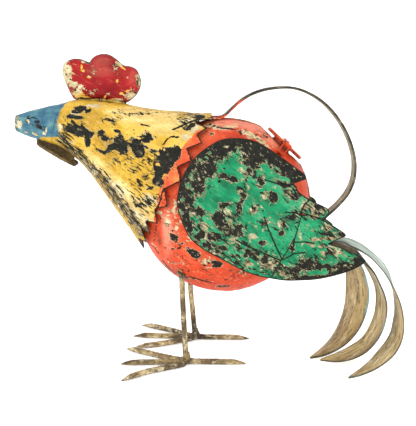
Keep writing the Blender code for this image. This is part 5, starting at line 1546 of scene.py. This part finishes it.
strap = bpy.data.objects.new("lid_strap_form", mesh)
PIECES.objects.link(strap)
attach(strap, "lid")
cut(strap, drum(Matrix.Translation(disc_frame(0, HY, HN)) @ LID_ROT @ Matrix.Rotation(math.pi / 2, 4, "Y"), BR, 40, 40))
applied(strap, 40)
mod = strap.modifiers.new("soft", "BEVEL")
mod.width = 0.28 * MM
mod.segments = 2
mod.limit_method = "ANGLE"
mod.angle_limit = math.radians(50)
applied(strap, 40)
dress(strap, M_LID, "orange_paint", "lid_strap", speckle=0.2)

for word, y in (("front", -16.0), ("rear", 16.0)):
    up = 103.25 + 0.3 - 101.1
    profile = [(0.0, up + 1.1)] + [(2.5 * math.sin(math.radians(a)), up + 1.1 * math.cos(math.radians(a))) for a in range(15, 91, 15)]
    profile += [(1.2, up), (1.2, -0.9), (2.0, -0.9), (1.9, -1.3), (1.3, -1.55), (0.0, -1.6)]
    riv = turned("lid_rivet_%s_form" % word, profile, Matrix.Translation(disc_frame(0, y, 101.1)) @ LID_ROT, "lid", 40)
    dress(riv, M_LID, "orange_paint", "lid_rivet_" + word, speckle=0.4)

reach = 4.2 + 0.25
profile = [(0.0, reach + 1.0), (1.0, reach + 0.97), (1.7, reach + 0.8), (2.2, reach + 0.45), (2.3, reach), (1.45, reach),
           (1.45, -reach), (2.3, -reach), (2.2, -reach - 0.45), (1.7, -reach - 0.8), (1.0, -reach - 0.97), (0.0, -reach - 1.0)]
pin = turned("hinge_pin_form", profile, Matrix.Translation(disc_frame(0, HY, HN)) @ LID_ROT @ Matrix.Rotation(math.pi / 2, 4, "Y"),
             "can", 40)
dress(pin, M_LID, "orange_paint", "hinge_pin", black=0.2, speckle=0.5)

# two ears that carry the pin, standing on a folded foot
def ear(name, t0, t1):
    outline = [(HY + KR * math.cos(a), HN + KR * math.sin(a)) for a in np.linspace(0, math.pi, 20)]
    base = 80.0
    outline += [(HY - KR, 92.0), (HY - KR - 1.2, 86.0), (HY - KR - 1.2, base), (HY + KR, base), (HY + KR, 90.0)]
    bm = bmesh.new()
    face = bm.faces.new([bm.verts.new(disc_frame(t0, y, nn)) for y, nn in outline])
    out = bmesh.ops.extrude_face_region(bm, geom=[face])
    moved = [g for g in out["geom"] if isinstance(g, bmesh.types.BMVert)]
    bmesh.ops.translate(bm, verts=moved, vec=LID_T * ((t1 - t0) * MM))
    bmesh.ops.recalc_face_normals(bm, faces=bm.faces)
    if bm.calc_volume(signed=True) < 0:
        bmesh.ops.reverse_faces(bm, faces=bm.faces)
    mesh = bpy.data.meshes.new(name)
    bm.to_mesh(mesh)
    bm.free()
    obj = bpy.data.objects.new(name, mesh)
    PIECES.objects.link(obj)
    mod = obj.modifiers.new("soft", "BEVEL")
    mod.width = 0.22 * MM
    mod.segments = 2
    mod.limit_method = "ANGLE"
    mod.angle_limit = math.radians(50)
    applied(obj, 40)
    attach(obj, "can")
    return obj


ears = [ear("hinge_bracket_form", 3.2, 4.2), ear("hinge_bracket_ear", -4.2, -3.2)]
dress(ears[0], M_LID, "orange_paint", "hinge_bracket", speckle=0.2)
dress(ears[1], M_LID, "orange_paint", speckle=0.2)
# weld at the foot, between the ears
web_at = disc_frame(0, HY, 89.0)
weld = weld_lump("bracket_weld", [(tuple(np.array(tuple(disc_frame(t, HY + dy, 89.4))) / MM - (SHIFT_X, 0, 0)), 1.5)
                                  for t in (-3.9, -2.0, 0, 2.0, 3.9) for dy in (-2.4, 0, 2.4)], seed=9.0)
dress(weld, M_LID, "orange_paint", speckle=0.3, dirt=0.1)

for c in CUTTERS:
    bpy.data.objects.remove(c, do_unlink=True)

# ------------------------------------------------------------------ studio
floor_mat = Net("studio_floor")
floor_mat.finish(floor_mat.ramp(floor_mat.noise(400, 2, 0.4), [(0.3, srgb(247, 247, 246)), (0.7, srgb(252, 252, 251))]),
                 0.75, 0.0, 0.2)
floor_mat.bsdf.inputs["Emission Color"].default_value = (1.0, 1.0, 1.0, 1.0)
floor_mat.bsdf.inputs["Emission Strength"].default_value = 0.45
arc = [(2.6 + 1.2 * math.sin(a), 1.2 - 1.2 * math.cos(a) - 0.0005) for a in np.linspace(0.08, math.pi / 2, 14)]
profile = [(0.6, -0.0005), (1.6, -0.0005), (2.6, -0.0005)] + arc + [(3.8, 2.4), (3.8, 3.4)]
turns = 96
flat = [(0.0, 0.0, -0.0005)] + [(r * math.cos(2 * math.pi * k / turns), r * math.sin(2 * math.pi * k / turns), z)
                                for r, z in profile for k in range(turns)]
faces = [(0, 1 + k, 1 + (k + 1) % turns) for k in range(turns)]
faces += [quad[::-1] for quad in grid_faces(len(profile), turns, base=1)]
mesh = bpy.data.meshes.new("studio_sweep")
mesh.from_pydata(flat, [], [tuple(int(i) for i in f) for f in faces])
mesh.shade_smooth()
mesh.materials.append(floor_mat.mat)
sweep = bpy.data.objects.new("studio_sweep", mesh)
bpy.context.scene.collection.objects.link(sweep)

world = bpy.data.worlds.new("studio_world")
world.use_nodes = True
world.node_tree.nodes["Background"].inputs["Color"].default_value = (1.0, 1.0, 1.0, 1.0)
world.node_tree.nodes["Background"].inputs["Strength"].default_value = 0.26
bpy.context.scene.world = world
bpy.context.scene.view_settings.view_transform = "Standard"
bpy.context.scene.view_settings.look = "None"


def area(name, at, look, size, power, colour=(1, 1, 1)):
    light = bpy.data.lights.new(name, "AREA")
    light.shape = "RECTANGLE"
    light.size, light.size_y = size
    light.energy = power
    light.color = colour
    obj = bpy.data.objects.new(name, light)
    obj.location = at
    obj.rotation_euler = (Vector(look) - Vector(at)).to_track_quat("-Z", "Y").to_euler()
    bpy.context.scene.collection.objects.link(obj)
    return obj


area("key_left", (-1.2, -1.3, 1.5), (0, 0, 0.16), (1.4, 1.4), 17.5)
area("fill_right", (1.6, -1.2, 0.9), (0, 0, 0.15), (1.6, 1.6), 6)
area("overhead", (0.1, 0.1, 1.9), (0, 0, 0.1), (1.8, 1.8), 15)

cam_data = bpy.data.cameras.new("photo_view")
cam_data.lens = 70.99
cam_data.sensor_width = 36.0
cam_data.sensor_fit = "AUTO"
cam_data.clip_start = 0.05
cam = bpy.data.objects.new("photo_view", cam_data)
cam.location = (0.0003, -0.96, 0.332)
cam.rotation_euler = (math.radians(80.28), 0.0, 0.0)
bpy.context.scene.collection.objects.link(cam)
bpy.context.scene.camera = cam

bpy.context.view_layer.update()
